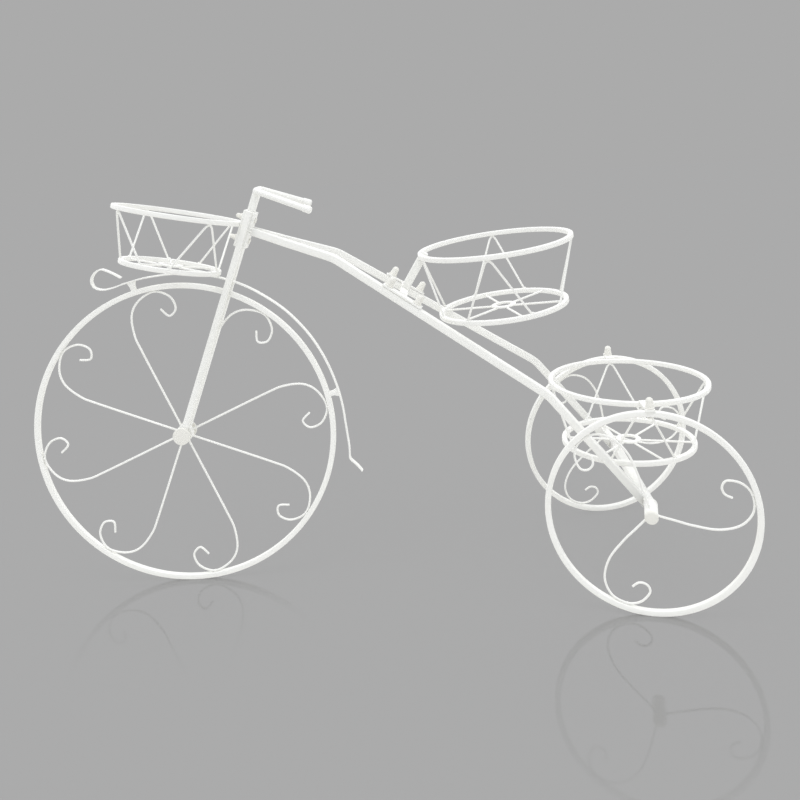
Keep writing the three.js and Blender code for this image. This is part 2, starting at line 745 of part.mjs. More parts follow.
// The rear basket's ring has a cranked lug on each side, which lies on the rim's top. Its middle
// line runs from the ring to a point short of the bolt, and on along the rim's face.
function lugPath(side) {
  const bolt = vec(0, 0, rearRimTop + seat + plateThickness / 2).add(lugShift(side)).applyMatrix4(wheelFrame(side));
  const up = AXIS_Z.clone().transformDirection(wheelFrame(side));
  const centre = basketCentre("rear");
  const out = bolt.clone().sub(centre).setZ(0).normalize();
  const onRim = out.clone().addScaledVector(up, -out.dot(up)).normalize();
  const weld = centre.clone().addScaledVector(out, baskets.rear.top).addScaledVector(AXIS_Z, lugCrank);
  const reach = lugOverhang;
  return [weld, bolt.clone().addScaledVector(onRim, -reach), bolt.clone().addScaledVector(onRim, reach)];
}

// The bolt stands a little behind the axle on both wheels.
const lugShift = (side) => vec(side === "near" ? -lugBack : lugBack, 0, 0);
const atLug = (geometry, side) => (
  upright(geometry).translate(...lugShift(side).toArray()).applyMatrix4(wheelFrame(side)));

function rearBasket() {
  const lugs = Object.keys(SIDES).map((side) => {
    const path = lugPath(side);
    const across = AXIS_Z.clone().cross(path[2].clone().sub(path[0])).normalize();
    const lug = sweep(path, rectangle(lugWidth, plateThickness), across);
    return cut(lug, atLug(rod(thinBoltHole, 0, rearRimRadius + overrun, 8), side));
  });
  return join(topRing("rear"), ...lugs);
}

// The middle basket's ring stands on a strut, a cross-piece and a plate on each bar.
function middleBasket() {
  const lift = barWidth / 2 + seat + plateThickness / 2;
  const plates = Object.values(SIDES).map((sign) => {
    const plate = onBar(box(bracketPlateLength, bracketPlateWidth, plateThickness), sign, 0, lift);
    const bores = bracketBoltShifts.map((shift) => (
      onBar(upright(rod(boltHole, -overrun, overrun, 8)), sign, shift, 0)));
    return cut(plate, ...bores);
  });
  const [near, far] = [barFrame(SIDES.near), barFrame(SIDES.far)];
  const slope = vec(far.run.x, 0, far.run.z).normalize();
  const level = far.origin.clone().sub(near.origin).normalize();
  const normal = slope.clone().cross(level).normalize();
  // The bars' upper faces lean outwards, so the cross-piece lies a little higher than the plates.
  const centre = near.origin.clone().lerp(far.origin, 1 / 2)
    .addScaledVector(normal, lift + barWidth * far.up.y);
  const span = near.origin.distanceTo(far.origin) - barWidth / 2;
  const cross = placed(box(strutWidth, span, plateThickness), centre, level.clone().cross(normal), level);
  const frame = basketFrame("middle");
  const strutHead = vec(strutInset - baskets.middle.top, 0, 0).applyMatrix4(frame);
  const up = strutHead.clone().sub(centre);
  const rise = up.length() + basketRingTube / 2;
  const ahead = AXIS_Y.clone().cross(up.normalize()).normalize();
  const strut = placed(
    box(strutWidth, strutWidth, rise).translate(0, 0, rise / 2), centre, ahead, up.clone().cross(ahead));
  return join(topRing("middle"), ...plates, cross, strut);
}

// A tall domed cap nut on a bolt, standing on local Y. The stem's rows lie below the nut's seat.
function capBolt(stemRows) {
  const dome = capNutDome / 2;
  return turned([
    ...stemRows, [capNutBase / 2, 0], [capNutBase / 2, capNutFlange],
    [dome, capNutFlange + edgeBreak], [dome, capNutHeight - dome],
    [dome * domeShares.across, capNutHeight - dome * domeShares.down], [0, capNutHeight],
  ]);
}

// The bracket's bolts end inside the bars.
function bracketBolts() {
  const group = new THREE.Group();
  const top = barWidth / 2 + plateThickness + 2 * seat;
  const foot = barWidth / 2 - bracketBoltReach - top;
  const rows = [[0, foot], [boltDiameter / 2, foot], [boltDiameter / 2, 0]];
  for (const [side, sign] of Object.entries(SIDES)) {
    ["front", "rear"].forEach((end, i) => {
      const bolt = onBar(upright(capBolt(rows)), sign, bracketBoltShifts[i], top);
      group.add(mesh("bracket_bolt_" + side + "_" + end, bolt, zinc));
    });
  }
  return group;
}

// The rear basket's bolts go through the lug and the rim, and have a flat head inside the rim.
function lugBolts() {
  const group = new THREE.Group();
  const [top, under] = [rearRimTop + plateThickness + 2 * seat, rearRimTop - rearRimTube - seat];
  const [stem, head] = [thinBoltDiameter / 2, thinHeadDiameter / 2];
  const foot = under - thinHeadThickness - top;
  const rows = [[0, foot], [head, foot], [head, under - top], [stem, under - top], [stem, 0]];
  for (const side of Object.keys(SIDES)) {
    const bolt = capBolt(rows).translate(0, top, 0);
    group.add(mesh("basket_bolt_" + side, atLug(bolt, side), zinc));
  }
  return group;
}

function basketParts() {
  const group = new THREE.Group();
  const rims = { front: frontBasket(), middle: middleBasket(), rear: rearBasket() };
  for (const [name, spec] of Object.entries(baskets)) {
    const [cage, floor] = [basketCage(spec), basketFloor(spec)];
    group.add(mesh(name + "_basket_cage", cage.applyMatrix4(basketFrame(name))));
    group.add(mesh(name + "_basket_floor", floor.applyMatrix4(basketFrame(name))));
    group.add(mesh(name + "_basket_rim", rims[name]));
  }
  return group;
}

const planter = new THREE.Group();
planter.add(frontWheel(), fork(), handlebar(), headBolts(), frameBars());
for (const side of Object.keys(SIDES)) {
  planter.add(rearWheel(side), ...rearHub(side));
}
planter.add(basketParts(), bracketBolts(), lugBolts());

// How far a rear rim reaches from its middle along an axis of the stand.
function rimReach(side, axis) {
  const slant = Math.abs(AXIS_Y.clone().transformDirection(wheelPlace(side)).dot(axis));
  return rearRimTop * Math.sqrt(1 - slant * slant) + (rearRimTube / 2) * slant;
}

// The stand is centred between the rims' outermost points.
const foremost = -frontRimRadius - frontRimTube / 2;
const rearmost = rearAxleX + Math.max(...Object.keys(SIDES).map((side) => rimReach(side, vec(1, 0, 0))));
const outmost = Object.entries(SIDES).map(([side, sign]) => sign * (tracks[side] + rimReach(side, AXIS_Y)));
planter.position.x = -(foremost + rearmost) / 2;
planter.position.y = -(outmost[0] + outmost[1]) / 2;

export default planter;
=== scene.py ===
# %% [markdown]
# # A tricycle plant stand in white powder coat
# The real stand is bent from square tube, wire and flat strip, welded, bolted together and then
# powder coated white. So almost everything in this lesson is one idea: a path, and a section that
# is pushed along it. Geometry Nodes do that, and they also repeat the spokes, wires and welds.

import math
from collections import namedtuple

import bmesh
import bpy
from mathutils import Matrix, Vector


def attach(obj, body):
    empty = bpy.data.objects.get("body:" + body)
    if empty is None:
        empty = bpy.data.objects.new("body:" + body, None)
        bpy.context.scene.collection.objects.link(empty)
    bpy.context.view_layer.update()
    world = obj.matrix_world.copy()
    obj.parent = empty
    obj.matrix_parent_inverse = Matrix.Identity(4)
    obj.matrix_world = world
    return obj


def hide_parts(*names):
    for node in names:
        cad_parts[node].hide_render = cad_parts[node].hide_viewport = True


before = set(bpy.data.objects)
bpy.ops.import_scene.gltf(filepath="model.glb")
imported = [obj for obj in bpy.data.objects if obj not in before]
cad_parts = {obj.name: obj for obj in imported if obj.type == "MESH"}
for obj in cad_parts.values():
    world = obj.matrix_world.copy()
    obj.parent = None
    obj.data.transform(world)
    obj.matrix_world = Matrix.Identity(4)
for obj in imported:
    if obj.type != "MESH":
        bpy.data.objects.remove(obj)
scene = bpy.context.scene
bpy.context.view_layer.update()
MM = 0.001
DEG = math.pi / 180
AHEAD, ACROSS, UP = Vector((1, 0, 0)), Vector((0, 1, 0)), Vector((0, 0, 1))
SIDES = {"near": -1, "far": 1}
print("nodes in the frame:", len(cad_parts))

# %% [markdown]
# ## Where things are counted from
# The stand was drawn from the front axle backwards and about its own middle plane, in millimetres,
# so this lesson counts from there too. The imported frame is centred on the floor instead, and
# STAND_PLACE is the step between the two. It is added when a piece is finished.

# %% Place of the stand, and two helpers
STAND_PLACE = Vector((-272.122, 4.886, 0))


def moved_by(step):
    """The matrix of a step in mm."""
    return Matrix.Translation(Vector(step) * MM)


def linked(name, data):
    """A new object in the scene, for a mesh, a lamp or the camera."""
    thing = bpy.data.objects.new(name, data)
    scene.collection.objects.link(thing)
    return thing


# %% [markdown]
# ## The camera
# The photograph was taken from the near side, a little above the baskets, with a slight roll.
# The lens looks past the middle of the stand, so the frame is shifted.

# %% Camera
PHOTO_WIDTH = 800
SENSOR_MM = 36
FOCAL_PX = 817.68
CENTRE_PX = (430.91, 215.06)
CAMERA_MM = STAND_PLACE + Vector((401.26, -1147.10, 600.42))
YAW, PITCH, ROLL = -0.024, 0.076, -0.060
CLIP_END_M = 80


def camera_axes(yaw, pitch, roll):
    ahead = Vector((math.sin(yaw) * math.cos(pitch), math.cos(yaw) * math.cos(pitch), -math.sin(pitch)))
    right = Vector((math.cos(yaw), -math.sin(yaw), 0))
    above = right.cross(ahead)
    rolled_right = math.cos(roll) * right + math.sin(roll) * above
    rolled_up = math.cos(roll) * above - math.sin(roll) * right
    return rolled_right, rolled_up, -ahead


camera_data = bpy.data.cameras.new("camera")
camera_data.sensor_width = SENSOR_MM
camera_data.lens = FOCAL_PX / PHOTO_WIDTH * SENSOR_MM
camera_data.shift_x = (PHOTO_WIDTH / 2 - CENTRE_PX[0]) / PHOTO_WIDTH
camera_data.shift_y = (CENTRE_PX[1] - PHOTO_WIDTH / 2) / PHOTO_WIDTH
camera_data.clip_end = CLIP_END_M
camera = linked("camera", camera_data)
camera.matrix_world = moved_by(CAMERA_MM) @ Matrix(camera_axes(YAW, PITCH, ROLL)).transposed().to_4x4()
scene.camera = camera
print("lens", round(camera_data.lens, 2), "mm")

# %% [markdown]
# ## Helpers
# One function adds a node to any tree, one empties a tree, and one turns the hex colours of a
# paint chart into the linear values that shaders want.


# %% Node helper
def add(tree, kind, links=None, **settings):
    """A new node. What goes into a socket is a value, another socket or a node's first output."""
    node = tree.nodes.new(kind)
    for name, value in settings.items():
        setattr(node, name, value)
    for socket, value in (links or {}).items():
        if isinstance(value, bpy.types.Node):
            value = value.outputs[0]
        if isinstance(value, bpy.types.NodeSocket):
            tree.links.new(value, node.inputs[socket])
        else:
            node.inputs[socket].default_value = value
    return node


def emptied(owner):
    """The node tree of a material or a world, with nothing in it."""
    owner.use_nodes = True
    owner.node_tree.nodes.clear()
    return owner.node_tree


# %% Colour helper
def colour(hex_code):
    channels = [int(hex_code[i : i + 2], 16) / 255 for i in (1, 3, 5)]
    linear = [c / 12.92 if c <= 0.04045 else ((c + 0.055) / 1.055) ** 2.4 for c in channels]
    return (*linear, 1)


# %% [markdown]
# ## Finishes
# Powder coat is polyester powder, sprayed on dry and melted in an oven. It flows into a thick,
# glossy skin with a slight orange peel, a wave every few millimetres. White powder is never quite
# even: it is a little warmer where it lies thick and greyer where it is thin. The bolts are zinc
# plated and painted afterwards, so they are duller. The end caps are moulded polythene.


# %% Powder coat and its relatives
CLOUD_MM = 35


def coated(name, light, dark, roughness, peel_mm, peel_depth_mm, coat):
    material = bpy.data.materials.new(name)
    tree = emptied(material)
    place = add(tree, "ShaderNodeTexCoord")
    cloud = add(tree, "ShaderNodeTexNoise", {
        "Vector": place.outputs["Object"], "Scale": 1 / (CLOUD_MM * MM), "Detail": 4.0, "Roughness": 0.6})
    tint = add(tree, "ShaderNodeMix", {
        "Factor": cloud.outputs["Fac"], 6: colour(light), 7: colour(dark)}, data_type="RGBA")
    peel = add(tree, "ShaderNodeTexNoise", {
        "Vector": place.outputs["Object"], "Scale": 1 / (peel_mm * MM), "Detail": 2.0})
    bump = add(tree, "ShaderNodeBump", {
        "Height": peel.outputs["Fac"], "Strength": 0.3, "Distance": peel_depth_mm * MM})
    gloss = add(tree, "ShaderNodeMapRange", {
        "Value": cloud.outputs["Fac"], "To Min": roughness * 0.85, "To Max": roughness * 1.2})
    surface = add(tree, "ShaderNodeBsdfPrincipled", {
        "Base Color": tint.outputs[2], "Roughness": gloss, "Normal": bump,
        "IOR": 1.5, "Coat Weight": coat, "Coat Roughness": 0.12})
    add(tree, "ShaderNodeOutputMaterial", {"Surface": surface})
    return material


powder_coat = coated("white_powder_coat", "#F7F7F4", "#F0F0EA",
                     roughness=0.34, peel_mm=2.2, peel_depth_mm=0.03, coat=0.35)
bolt_paint = coated("painted_steel_bolts", "#F0EFE9", "#E4E3DB",
                    roughness=0.45, peel_mm=1.4, peel_depth_mm=0.03, coat=0.1)
cap_plastic = coated("polythene_end_caps", "#F8F8F5", "#F1F1EC",
                     roughness=0.5, peel_mm=3.0, peel_depth_mm=0.015, coat=0.0)
for node_name, cad_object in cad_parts.items():
    cad_object.data.materials.clear()
    fastener = "bolt" in node_name or "nut" in node_name
    cad_object.data.materials.append(bolt_paint if fastener else powder_coat)
print("finishes:", [m.name for m in (powder_coat, bolt_paint, cap_plastic)])

# %% [markdown]
# ## From a tree to a piece
# A bare mesh of points and edges is handed to a Geometry Nodes tree, and the result is taken as a
# plain mesh, because the exported model keeps meshes and not trees. The tree's inputs are set by
# their identifiers before the object is evaluated for the first time.


# %% Bare paths
def path_mesh(name, paths):
    """One bare mesh of edges. Each path is (points in mm, closed or not)."""
    vertices, edges = [], []
    for points, closed in paths:
        first = len(vertices)
        vertices += [Vector(point) * MM for point in points]
        edges += [(first + i, first + i + 1) for i in range(len(points) - 1)]
        if closed:
            edges.append((len(vertices) - 1, first))
    mesh = bpy.data.meshes.new(name)
    mesh.from_pydata(vertices, edges, [])
    return mesh


# %% Grow, join and hand over
def grown(name, tree, paths, sizes, matrix=None):
    """The plain mesh that a tree makes of bare paths, as an object at the origin."""
    seed = linked(name + "_seed", path_mesh(name + "_paths", paths))
    modifier = seed.modifiers.new("grow", "NODES")
    modifier.node_group = tree
    for item in tree.interface.items_tree:
        if item.item_type == "SOCKET" and item.in_out == "INPUT" and item.name in sizes:
            modifier[item.identifier] = sizes[item.name]
    mesh = bpy.data.meshes.new_from_object(seed.evaluated_get(bpy.context.evaluated_depsgraph_get()))
    mesh.name = name
    bpy.data.objects.remove(seed)
    if matrix is not None:
        mesh.transform(matrix)
    return linked(name, mesh)


def coated_bar(width, corner, height=None, **more):
    """A tree's sizes for a powder-coated bar or strip."""
    return {"Width": width * MM, "Height": (height or width) * MM, "Corner": corner * MM,
            "Finish": powder_coat, **more}


def coated_tube(width, **more):
    """A tree's sizes for powder-coated tube or wire."""
    return {"Width": width * MM, "Finish": powder_coat, **more}


def joined(name, pieces):
    """Several finished meshes as one piece."""
    mesh = bmesh.new()
    materials = []
    for piece in pieces:
        start = len(mesh.faces)
        mesh.from_mesh(piece.data)
        mesh.faces.ensure_lookup_table()
        slots = list(piece.data.materials)
        materials += [m for m in slots if m not in materials]
        for face in mesh.faces[start:]:
            face.material_index = materials.index(slots[face.material_index])
    data = bpy.data.meshes.new(name)
    mesh.to_mesh(data)
    mesh.free()
    for m in materials:
        data.materials.append(m)
    for piece in pieces:
        bpy.data.objects.remove(piece)
    return linked(name, data)


def hand_over(piece, nodes, body="frame"):
    """Puts a finished piece where the stand is, and lets it ride and stand for its CAD nodes."""
    piece.data.transform(moved_by(STAND_PLACE))
    # The floor in the photograph mirrors only the front wheel and the near rear wheel.
    of_near_wheel = piece.name.startswith("rear") and "near" in piece.name
    piece.visible_glossy = body == "front_wheel" or of_near_wheel
    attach(piece, body)
    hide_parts(*nodes)
    print(piece.name, len(piece.data.polygons), "faces")


# %% [markdown]
# ## A tree for bent tube
# A bare path becomes a curve. Its points are rounded by Catmull-Rom or left as they are, and a
# section is pushed along it. The copies are then turned about an axis, so one spoke makes a wheel.
# A path that starts level keeps the section's width level, which is how bars and strip are bent.


# %% What every tree starts and ends with
def piece_tree(name, inputs):
    """An empty tree that makes a piece of a path, with its inputs to build from."""
    tree = bpy.data.node_groups.new(name, "GeometryNodeTree")
    for label, kind, value in (("Path", "Geometry", None), *inputs, ("Finish", "Material", None)):
        socket = tree.interface.new_socket(label, in_out="INPUT", socket_type="NodeSocket" + kind)
        if value is not None:
            socket.default_value = value
    tree.interface.new_socket("Piece", in_out="OUTPUT", socket_type="NodeSocketGeometry")
    return tree, add(tree, "NodeGroupInput").outputs


def finish_tree(tree, given, copies):
    """Makes the copies real, smooths them and paints them."""
    real = add(tree, "GeometryNodeRealizeInstances", {0: copies})
    shaded = add(tree, "GeometryNodeSetShadeSmooth", {0: real, "Shade Smooth": True})
    painted = add(tree, "GeometryNodeSetMaterial", {0: shaded, "Material": given["Finish"]})
    add(tree, "NodeGroupOutput", {0: painted})
    return tree


# %% The bent tube tree
def bent_tree(name, section, smooth, upright=False):
    tree, given = piece_tree(name, (
        ("Width", "Float", 3 * MM), ("Height", "Float", 3 * MM), ("Corner", "Float", 0.5 * MM),
        ("Step", "Float", 1.5 * MM), ("Copies", "Int", 1), ("First Turn", "Float", 0.0),
        ("Axis", "Vector", (0, 0, 1))))
    curve = add(tree, "GeometryNodeMeshToCurve", {0: given["Path"]})
    if smooth:
        kind = add(tree, "GeometryNodeCurveSplineType", {0: curve}, spline_type="CATMULL_ROM")
        fine = add(tree, "GeometryNodeSetSplineResolution", {0: kind, "Resolution": 24})
        curve = add(tree, "GeometryNodeResampleCurve", {0: fine, "Length": given["Step"]}, mode="LENGTH")
    if upright:
        curve = add(tree, "GeometryNodeSetCurveNormal", {0: curve}, mode="Z_UP")
    if section == "round":
        half = add(tree, "ShaderNodeMath", {0: given["Width"], 1: 0.5}, operation="MULTIPLY")
        profile = add(tree, "GeometryNodeCurvePrimitiveCircle", {
            "Resolution": 14, "Radius": half}, mode="RADIUS")
    else:
        flat = add(tree, "GeometryNodeCurvePrimitiveQuadrilateral", {
            "Width": given["Width"], "Height": given["Height"]}, mode="RECTANGLE")
        profile = add(tree, "GeometryNodeFilletCurve", {
            "Curve": flat, "Radius": given["Corner"], "Count": 4}, mode="POLY")
    tube = add(tree, "GeometryNodeCurveToMesh", {
        "Curve": curve, "Profile Curve": profile, "Fill Caps": True})
    index = add(tree, "GeometryNodeInputIndex")
    part = add(tree, "ShaderNodeMath", {0: index, 1: given["Copies"]}, operation="DIVIDE")
    turn = add(tree, "ShaderNodeMath", {
        0: part, 1: 2 * math.pi, 2: given["First Turn"]}, operation="MULTIPLY_ADD")
    spin = add(tree, "FunctionNodeAxisAngleToRotation", {"Axis": given["Axis"], "Angle": turn})
    points = add(tree, "GeometryNodePoints", {"Count": given["Copies"]})
    copies = add(tree, "GeometryNodeInstanceOnPoints", {
        "Points": points, "Instance": tube, "Rotation": spin})
    return finish_tree(tree, given, copies)


rounded_wire = bent_tree("smooth_round_tube", "round", True)
plain_wire = bent_tree("plain_round_tube", "round", False)
flat_strip = bent_tree("smooth_flat_strip", "flat", True)
square_bar = bent_tree("square_bar", "flat", False)
level_bar = bent_tree("level_square_bar", "flat", False, upright=True)
print("trees:", [tree.name for tree in bpy.data.node_groups])

# %% [markdown]
# ## A tree for welds
# Wire is tacked to tube with small beads, which the paint rounds over. Each bead is a ball, set on
# a bare point, and its three widths vary a little from a fixed seed, so no two are quite alike.


# %% The weld tree
BEAD_SHARES = (0.82, 1.12)


def weld_tree():
    tree, given = piece_tree("weld_beads", (("Size", "Float", 2 * MM), ("Seed", "Int", 4)))
    bead = add(tree, "GeometryNodeMeshIcoSphere", {"Radius": 1.0, "Subdivisions": 2})
    points = add(tree, "GeometryNodeMeshToPoints", {0: given["Path"]})
    ends = []
    for share in BEAD_SHARES:
        width = add(tree, "ShaderNodeMath", {0: given["Size"], 1: share}, operation="MULTIPLY")
        ends.append(add(tree, "ShaderNodeCombineXYZ", {i: width for i in range(3)}))
    varied = add(tree, "FunctionNodeRandomValue", {
        0: ends[0], 1: ends[1], "Seed": given["Seed"]}, data_type="FLOAT_VECTOR")
    beads = add(tree, "GeometryNodeInstanceOnPoints", {
        "Points": points, "Instance": bead, "Scale": varied})
    return finish_tree(tree, given, beads)


weld_beads = weld_tree()
SPOKE_BEAD, BASKET_BEAD, FLOOR_BEAD, BAR_BEAD, HANDLE_BEAD = 2.1, 2.1, 1.9, 1.5, 2.4


def welds(points, size, matrix=None):
    return grown("welds", weld_beads, [([point], False) for point in points], {
        "Size": size * MM, "Finish": powder_coat}, matrix)


# %% [markdown]
# ## Plates and turned pieces
# Flat pieces are sheared from strip and have a slightly rounded edge, so a box gets a small bevel.
# Turned pieces are a profile spun about their axis.


# %% Plates and turned pieces
MERGE_M = 1e-6
DOME_FOOT = 3


def basis(origin, x_axis, y_axis):
    """The frame with that origin in mm and those two axes."""
    z_axis = x_axis.cross(y_axis).normalized()
    turned = Matrix((x_axis, y_axis, z_axis)).transposed().to_4x4()
    return moved_by(origin) @ turned


def finished(name, mesh, matrix, finish, smooth_angle=40):
    bmesh.ops.transform(mesh, matrix=matrix, verts=mesh.verts)
    for face in mesh.faces:
        face.smooth = True
    for edge in mesh.edges:
        if len(edge.link_faces) == 2 and edge.calc_face_angle() > smooth_angle * DEG:
            edge.smooth = False
    data = bpy.data.meshes.new(name)
    mesh.to_mesh(data)
    mesh.free()
    data.materials.append(finish)
    return linked(name, data)


def round_edges(mesh, width, steps=3):
    bmesh.ops.bevel(mesh, geom=mesh.edges[:], offset=width * MM, segments=steps, profile=0.5,
                    affect="EDGES")


def plate(name, size, matrix, edge=0.8):
    mesh = bmesh.new()
    bmesh.ops.create_cube(mesh, size=1)
    bmesh.ops.scale(mesh, vec=Vector(size) * MM, verts=mesh.verts)
    round_edges(mesh, edge)
    return finished(name, mesh, matrix, powder_coat)


def spun(name, profile, matrix, finish=bolt_paint, steps=48):
    """profile is (radius, height) in mm, from the axis out and back to it, turned about local Z."""
    mesh = bmesh.new()
    points = [mesh.verts.new(Vector((r, 0, h)) * MM) for r, h in profile]
    for a, b in zip(points, points[1:]):
        mesh.edges.new((a, b))
    bmesh.ops.spin(mesh, geom=mesh.verts[:] + mesh.edges[:], cent=(0, 0, 0), axis=UP,
                   angle=2 * math.pi, steps=steps, use_duplicate=False)
    bmesh.ops.remove_doubles(mesh, verts=mesh.verts, dist=MERGE_M)
    bmesh.ops.recalc_face_normals(mesh, faces=mesh.faces)
    return finished(name, mesh, matrix, finish)


def hexagon(name, across_flats, height, matrix):
    """A six-sided nut body, standing on local Z, with its edges broken."""
    mesh = bmesh.new()
    radius = across_flats / math.sqrt(3) * MM
    bmesh.ops.create_cone(mesh, cap_ends=True, segments=6, radius1=radius, radius2=radius,
                          depth=height * MM)
    bmesh.ops.translate(mesh, vec=(0, 0, height / 2 * MM), verts=mesh.verts)
    round_edges(mesh, width=0.5, steps=2)
    return finished(name, mesh, matrix, bolt_paint)


def dome(radius, foot, top, steps=9):
    """Profile points of a straight wall with a round top."""
    wall = top - radius
    turns = [i / steps * math.pi / 2 for i in range(steps + 1)]
    arc = [(radius * math.cos(t), wall + radius * math.sin(t)) for t in turns]
    return [(0, foot), (radius, foot), *arc[:-1], (0, top)]


def hex_and_dome(hex_width, hex_height, dome_width, dome_height, place):
    """The six-sided part and the dome of a cap nut."""
    top = dome(dome_width / 2, DOME_FOOT, dome_height)
    return [hexagon("hexed", hex_width, hex_height, place), spun("dome", top, place)]


print("helpers for plates and turned pieces are ready")

# %% [markdown]
# ## Wheels
# Each rim is a hoop of bent square tube. Its spokes are single wires that run straight from the hub,
# lay themselves against the hoop and come back in an open curl. One spoke is drawn in the plane of
# the wheel, as angles and shares of the reach, and the tree turns copies of it about the hub.

# %% Wheel sizes
RING_STEPS = 180
WIRE, SEAT = 3, 0.3
RIM_TUBE, RIM_CORNER = 7.5, 1.3
FRONT_RIM, REAR_RIM = 215, 129
RIM_TOP = REAR_RIM + RIM_TUBE / 2
FRONT_HUB, REAR_HUB = 24, 17
FRONT_SPOKES, REAR_SPOKES = 8, 3
SPOKE_OVERLAP, SPOKE_STRAIGHT, TACK_SHARE = 1, 20, 0.4
FRONT_SPOKE_START, REAR_SPOKE_STARTS = 23.1 * DEG, {"near": -14 * DEG, "far": -19.5 * DEG}
FRONT_AXLE = Vector((0, 0, FRONT_RIM + RIM_TUBE / 2))
FRONT_PLACE = moved_by(FRONT_AXLE)
FRONT_SCROLL_SHARES = [
    (0, 0.62), (-0.6, 0.76), (-3.6, 0.89), (-8.6, 0.965), (-15.6, 1), (-21.5, 0.952),
    (-23.6, 0.869), (-20.3, 0.82), (-16.8, 0.875),
]
REAR_SCROLL_SHARES = [
    (0, 0.42), (2.6, 0.66), (9, 0.86), (18, 0.978), (28, 1), (35.8, 0.945),
    (41, 0.83), (38.5, 0.755), (32.5, 0.75), (28.5, 0.81),
]

# %% [markdown]
# The rear wheels aren't upright planes like the front one. Both splay outwards towards the back, and
# the far one has been bent so that its top leans in. A wheel that leans stands on one corner of
# its rim, so its axle is a little lower.

# %% Where the wheels stand
REAR_AXLE_X, HALF_TRACK, FAR_INSET = 631, 148, 5
TRACKS = {"near": HALF_TRACK, "far": HALF_TRACK - FAR_INSET}
SPLAYS = {"near": 12.6 * DEG, "far": 8 * DEG}
LEANS = {"near": 0, "far": 6.8 * DEG}


def axle_height(side):
    lean, half = LEANS[side], RIM_TUBE / 2
    return (REAR_RIM + half) * math.cos(lean) + half * math.sin(lean)


def wheel_place(side):
    """The wheel's own frame: Z up in its plane and Y across the stand."""
    sign = SIDES[side]
    centre = (REAR_AXLE_X, sign * TRACKS[side], axle_height(side))
    turned = Matrix.Rotation(sign * SPLAYS[side], 4, "Z") @ Matrix.Rotation(sign * LEANS[side], 4, "X")
    return moved_by(centre) @ turned


def outward(side):
    """The same frame with Y pointing out of the stand."""
    return wheel_place(side) @ Matrix.Rotation(math.pi if side == "near" else 0, 4, "Z")


def carried(matrix, point):
    """A point in mm, taken through a matrix in metres."""
    return matrix @ (Vector(point) * MM) / MM


# %% The spoke's path and a wheel
def around(count, first=0.0):
    """That many even turns about a circle."""
    return [first + 2 * math.pi * i / count for i in range(count)]


def polar(radius, angle):
    return Vector((radius * math.cos(angle), 0, radius * math.sin(angle)))


def spoke_path(scroll_shares, hub, rim):
    reach = rim - RIM_TUBE / 2 - WIRE / 2
    start = [polar(hub / 2 - SPOKE_OVERLAP, 0), polar(hub / 2 + SPOKE_STRAIGHT, 0)]
    return start + [polar(share * reach, angle * DEG) for angle, share in scroll_shares]


def wheel_pieces(label, rim, hub, count, first_turn, scroll_shares, place):
    """The hoop, and the set of spokes with a weld at each end."""
    circle = [polar(rim, turn) for turn in around(RING_STEPS)]
    hoop = grown(label + "_hoop", square_bar, [(circle, True)], coated_bar(RIM_TUBE, RIM_CORNER), place)
    path = spoke_path(scroll_shares, hub, rim)
    turning = {"Copies": count, "First Turn": first_turn, "Axis": (0, -1, 0)}
    spokes = grown("spokes", rounded_wire, [(path, False)], coated_tube(WIRE, **turning), place)
    touch = next(angle for angle, share in scroll_shares if share == 1) * DEG
    turns = around(count, first_turn)
    tacks = [polar(rim - RIM_TUBE / 2 - WIRE * TACK_SHARE, turn + touch) for turn in turns]
    tacks += [polar(hub / 2, turn) for turn in turns]
    return hoop, joined(label + "_spokes", [spokes, welds(tacks, SPOKE_BEAD, place)])


front_hoop, front_spokes = wheel_pieces(
    "front", FRONT_RIM, FRONT_HUB, FRONT_SPOKES, FRONT_SPOKE_START, FRONT_SCROLL_SHARES, FRONT_PLACE)
hand_over(front_hoop, ["front_rim"], body="front_wheel")
hand_over(front_spokes, [f"front_spoke_{i + 1}" for i in range(FRONT_SPOKES)], body="front_wheel")
for side in SIDES:
    hoop, spokes = wheel_pieces(
        "rear_" + side, REAR_RIM, REAR_HUB, REAR_SPOKES, REAR_SPOKE_STARTS[side], REAR_SCROLL_SHARES,
        wheel_place(side))
    hand_over(hoop, ["rear_rim_" + side])
    hand_over(spokes, [f"rear_spoke_{i + 1}_{side}" for i in range(REAR_SPOKES)])

# %% [markdown]
# ## Mudguard
# A flat strip stands off the wheel on two short stays. It starts in a curl, runs over the wheel
# and kicks out at its tail, so its path is smooth except at the last corner.

# %% Mudguard
GUARD_WIDTH, GUARD_THICKNESS, GUARD_CORNER = 8, 2, 0.7
GUARD_SHARES = [
    (107.6, 1.125), (109.2, 1.164), (110.8, 1.2), (112.2, 1.226), (114, 1.229), (115.8, 1.213),
    (117, 1.182), (117, 1.138), (114.8, 1.1), (111.2, 1.083), (107, 1.08), (99, 1.077),
    (88, 1.078), (77, 1.083), (66.7, 1.085), (57.4, 1.083), (46.7, 1.084), (35.4, 1.082),
    (25.1, 1.079), (15.3, 1.078), (7.4, 1.081), (-0.4, 1.087), (-7.2, 1.108), (-10.6, 1.118),
    (-11.3, 1.12), (-11.7, 1.125), (-12.2, 1.13), (-13.4, 1.168), (-14.5, 1.2), (-15.3, 1.22),
]
guard_path = [polar(share * FRONT_RIM, angle * DEG) for angle, share in GUARD_SHARES]
mudguard = grown("mudguard_strip", flat_strip, [(guard_path, False)],
                 coated_bar(GUARD_WIDTH, GUARD_CORNER, GUARD_THICKNESS, Step=2 * MM), FRONT_PLACE)
hand_over(mudguard, ["mudguard"], body="front_wheel")

# %% [markdown]
# ## Fork, stem and handlebar
# They share one frame: up along the stem, back square to it, and across. Sizes along the stem are
# counted from the front axle.

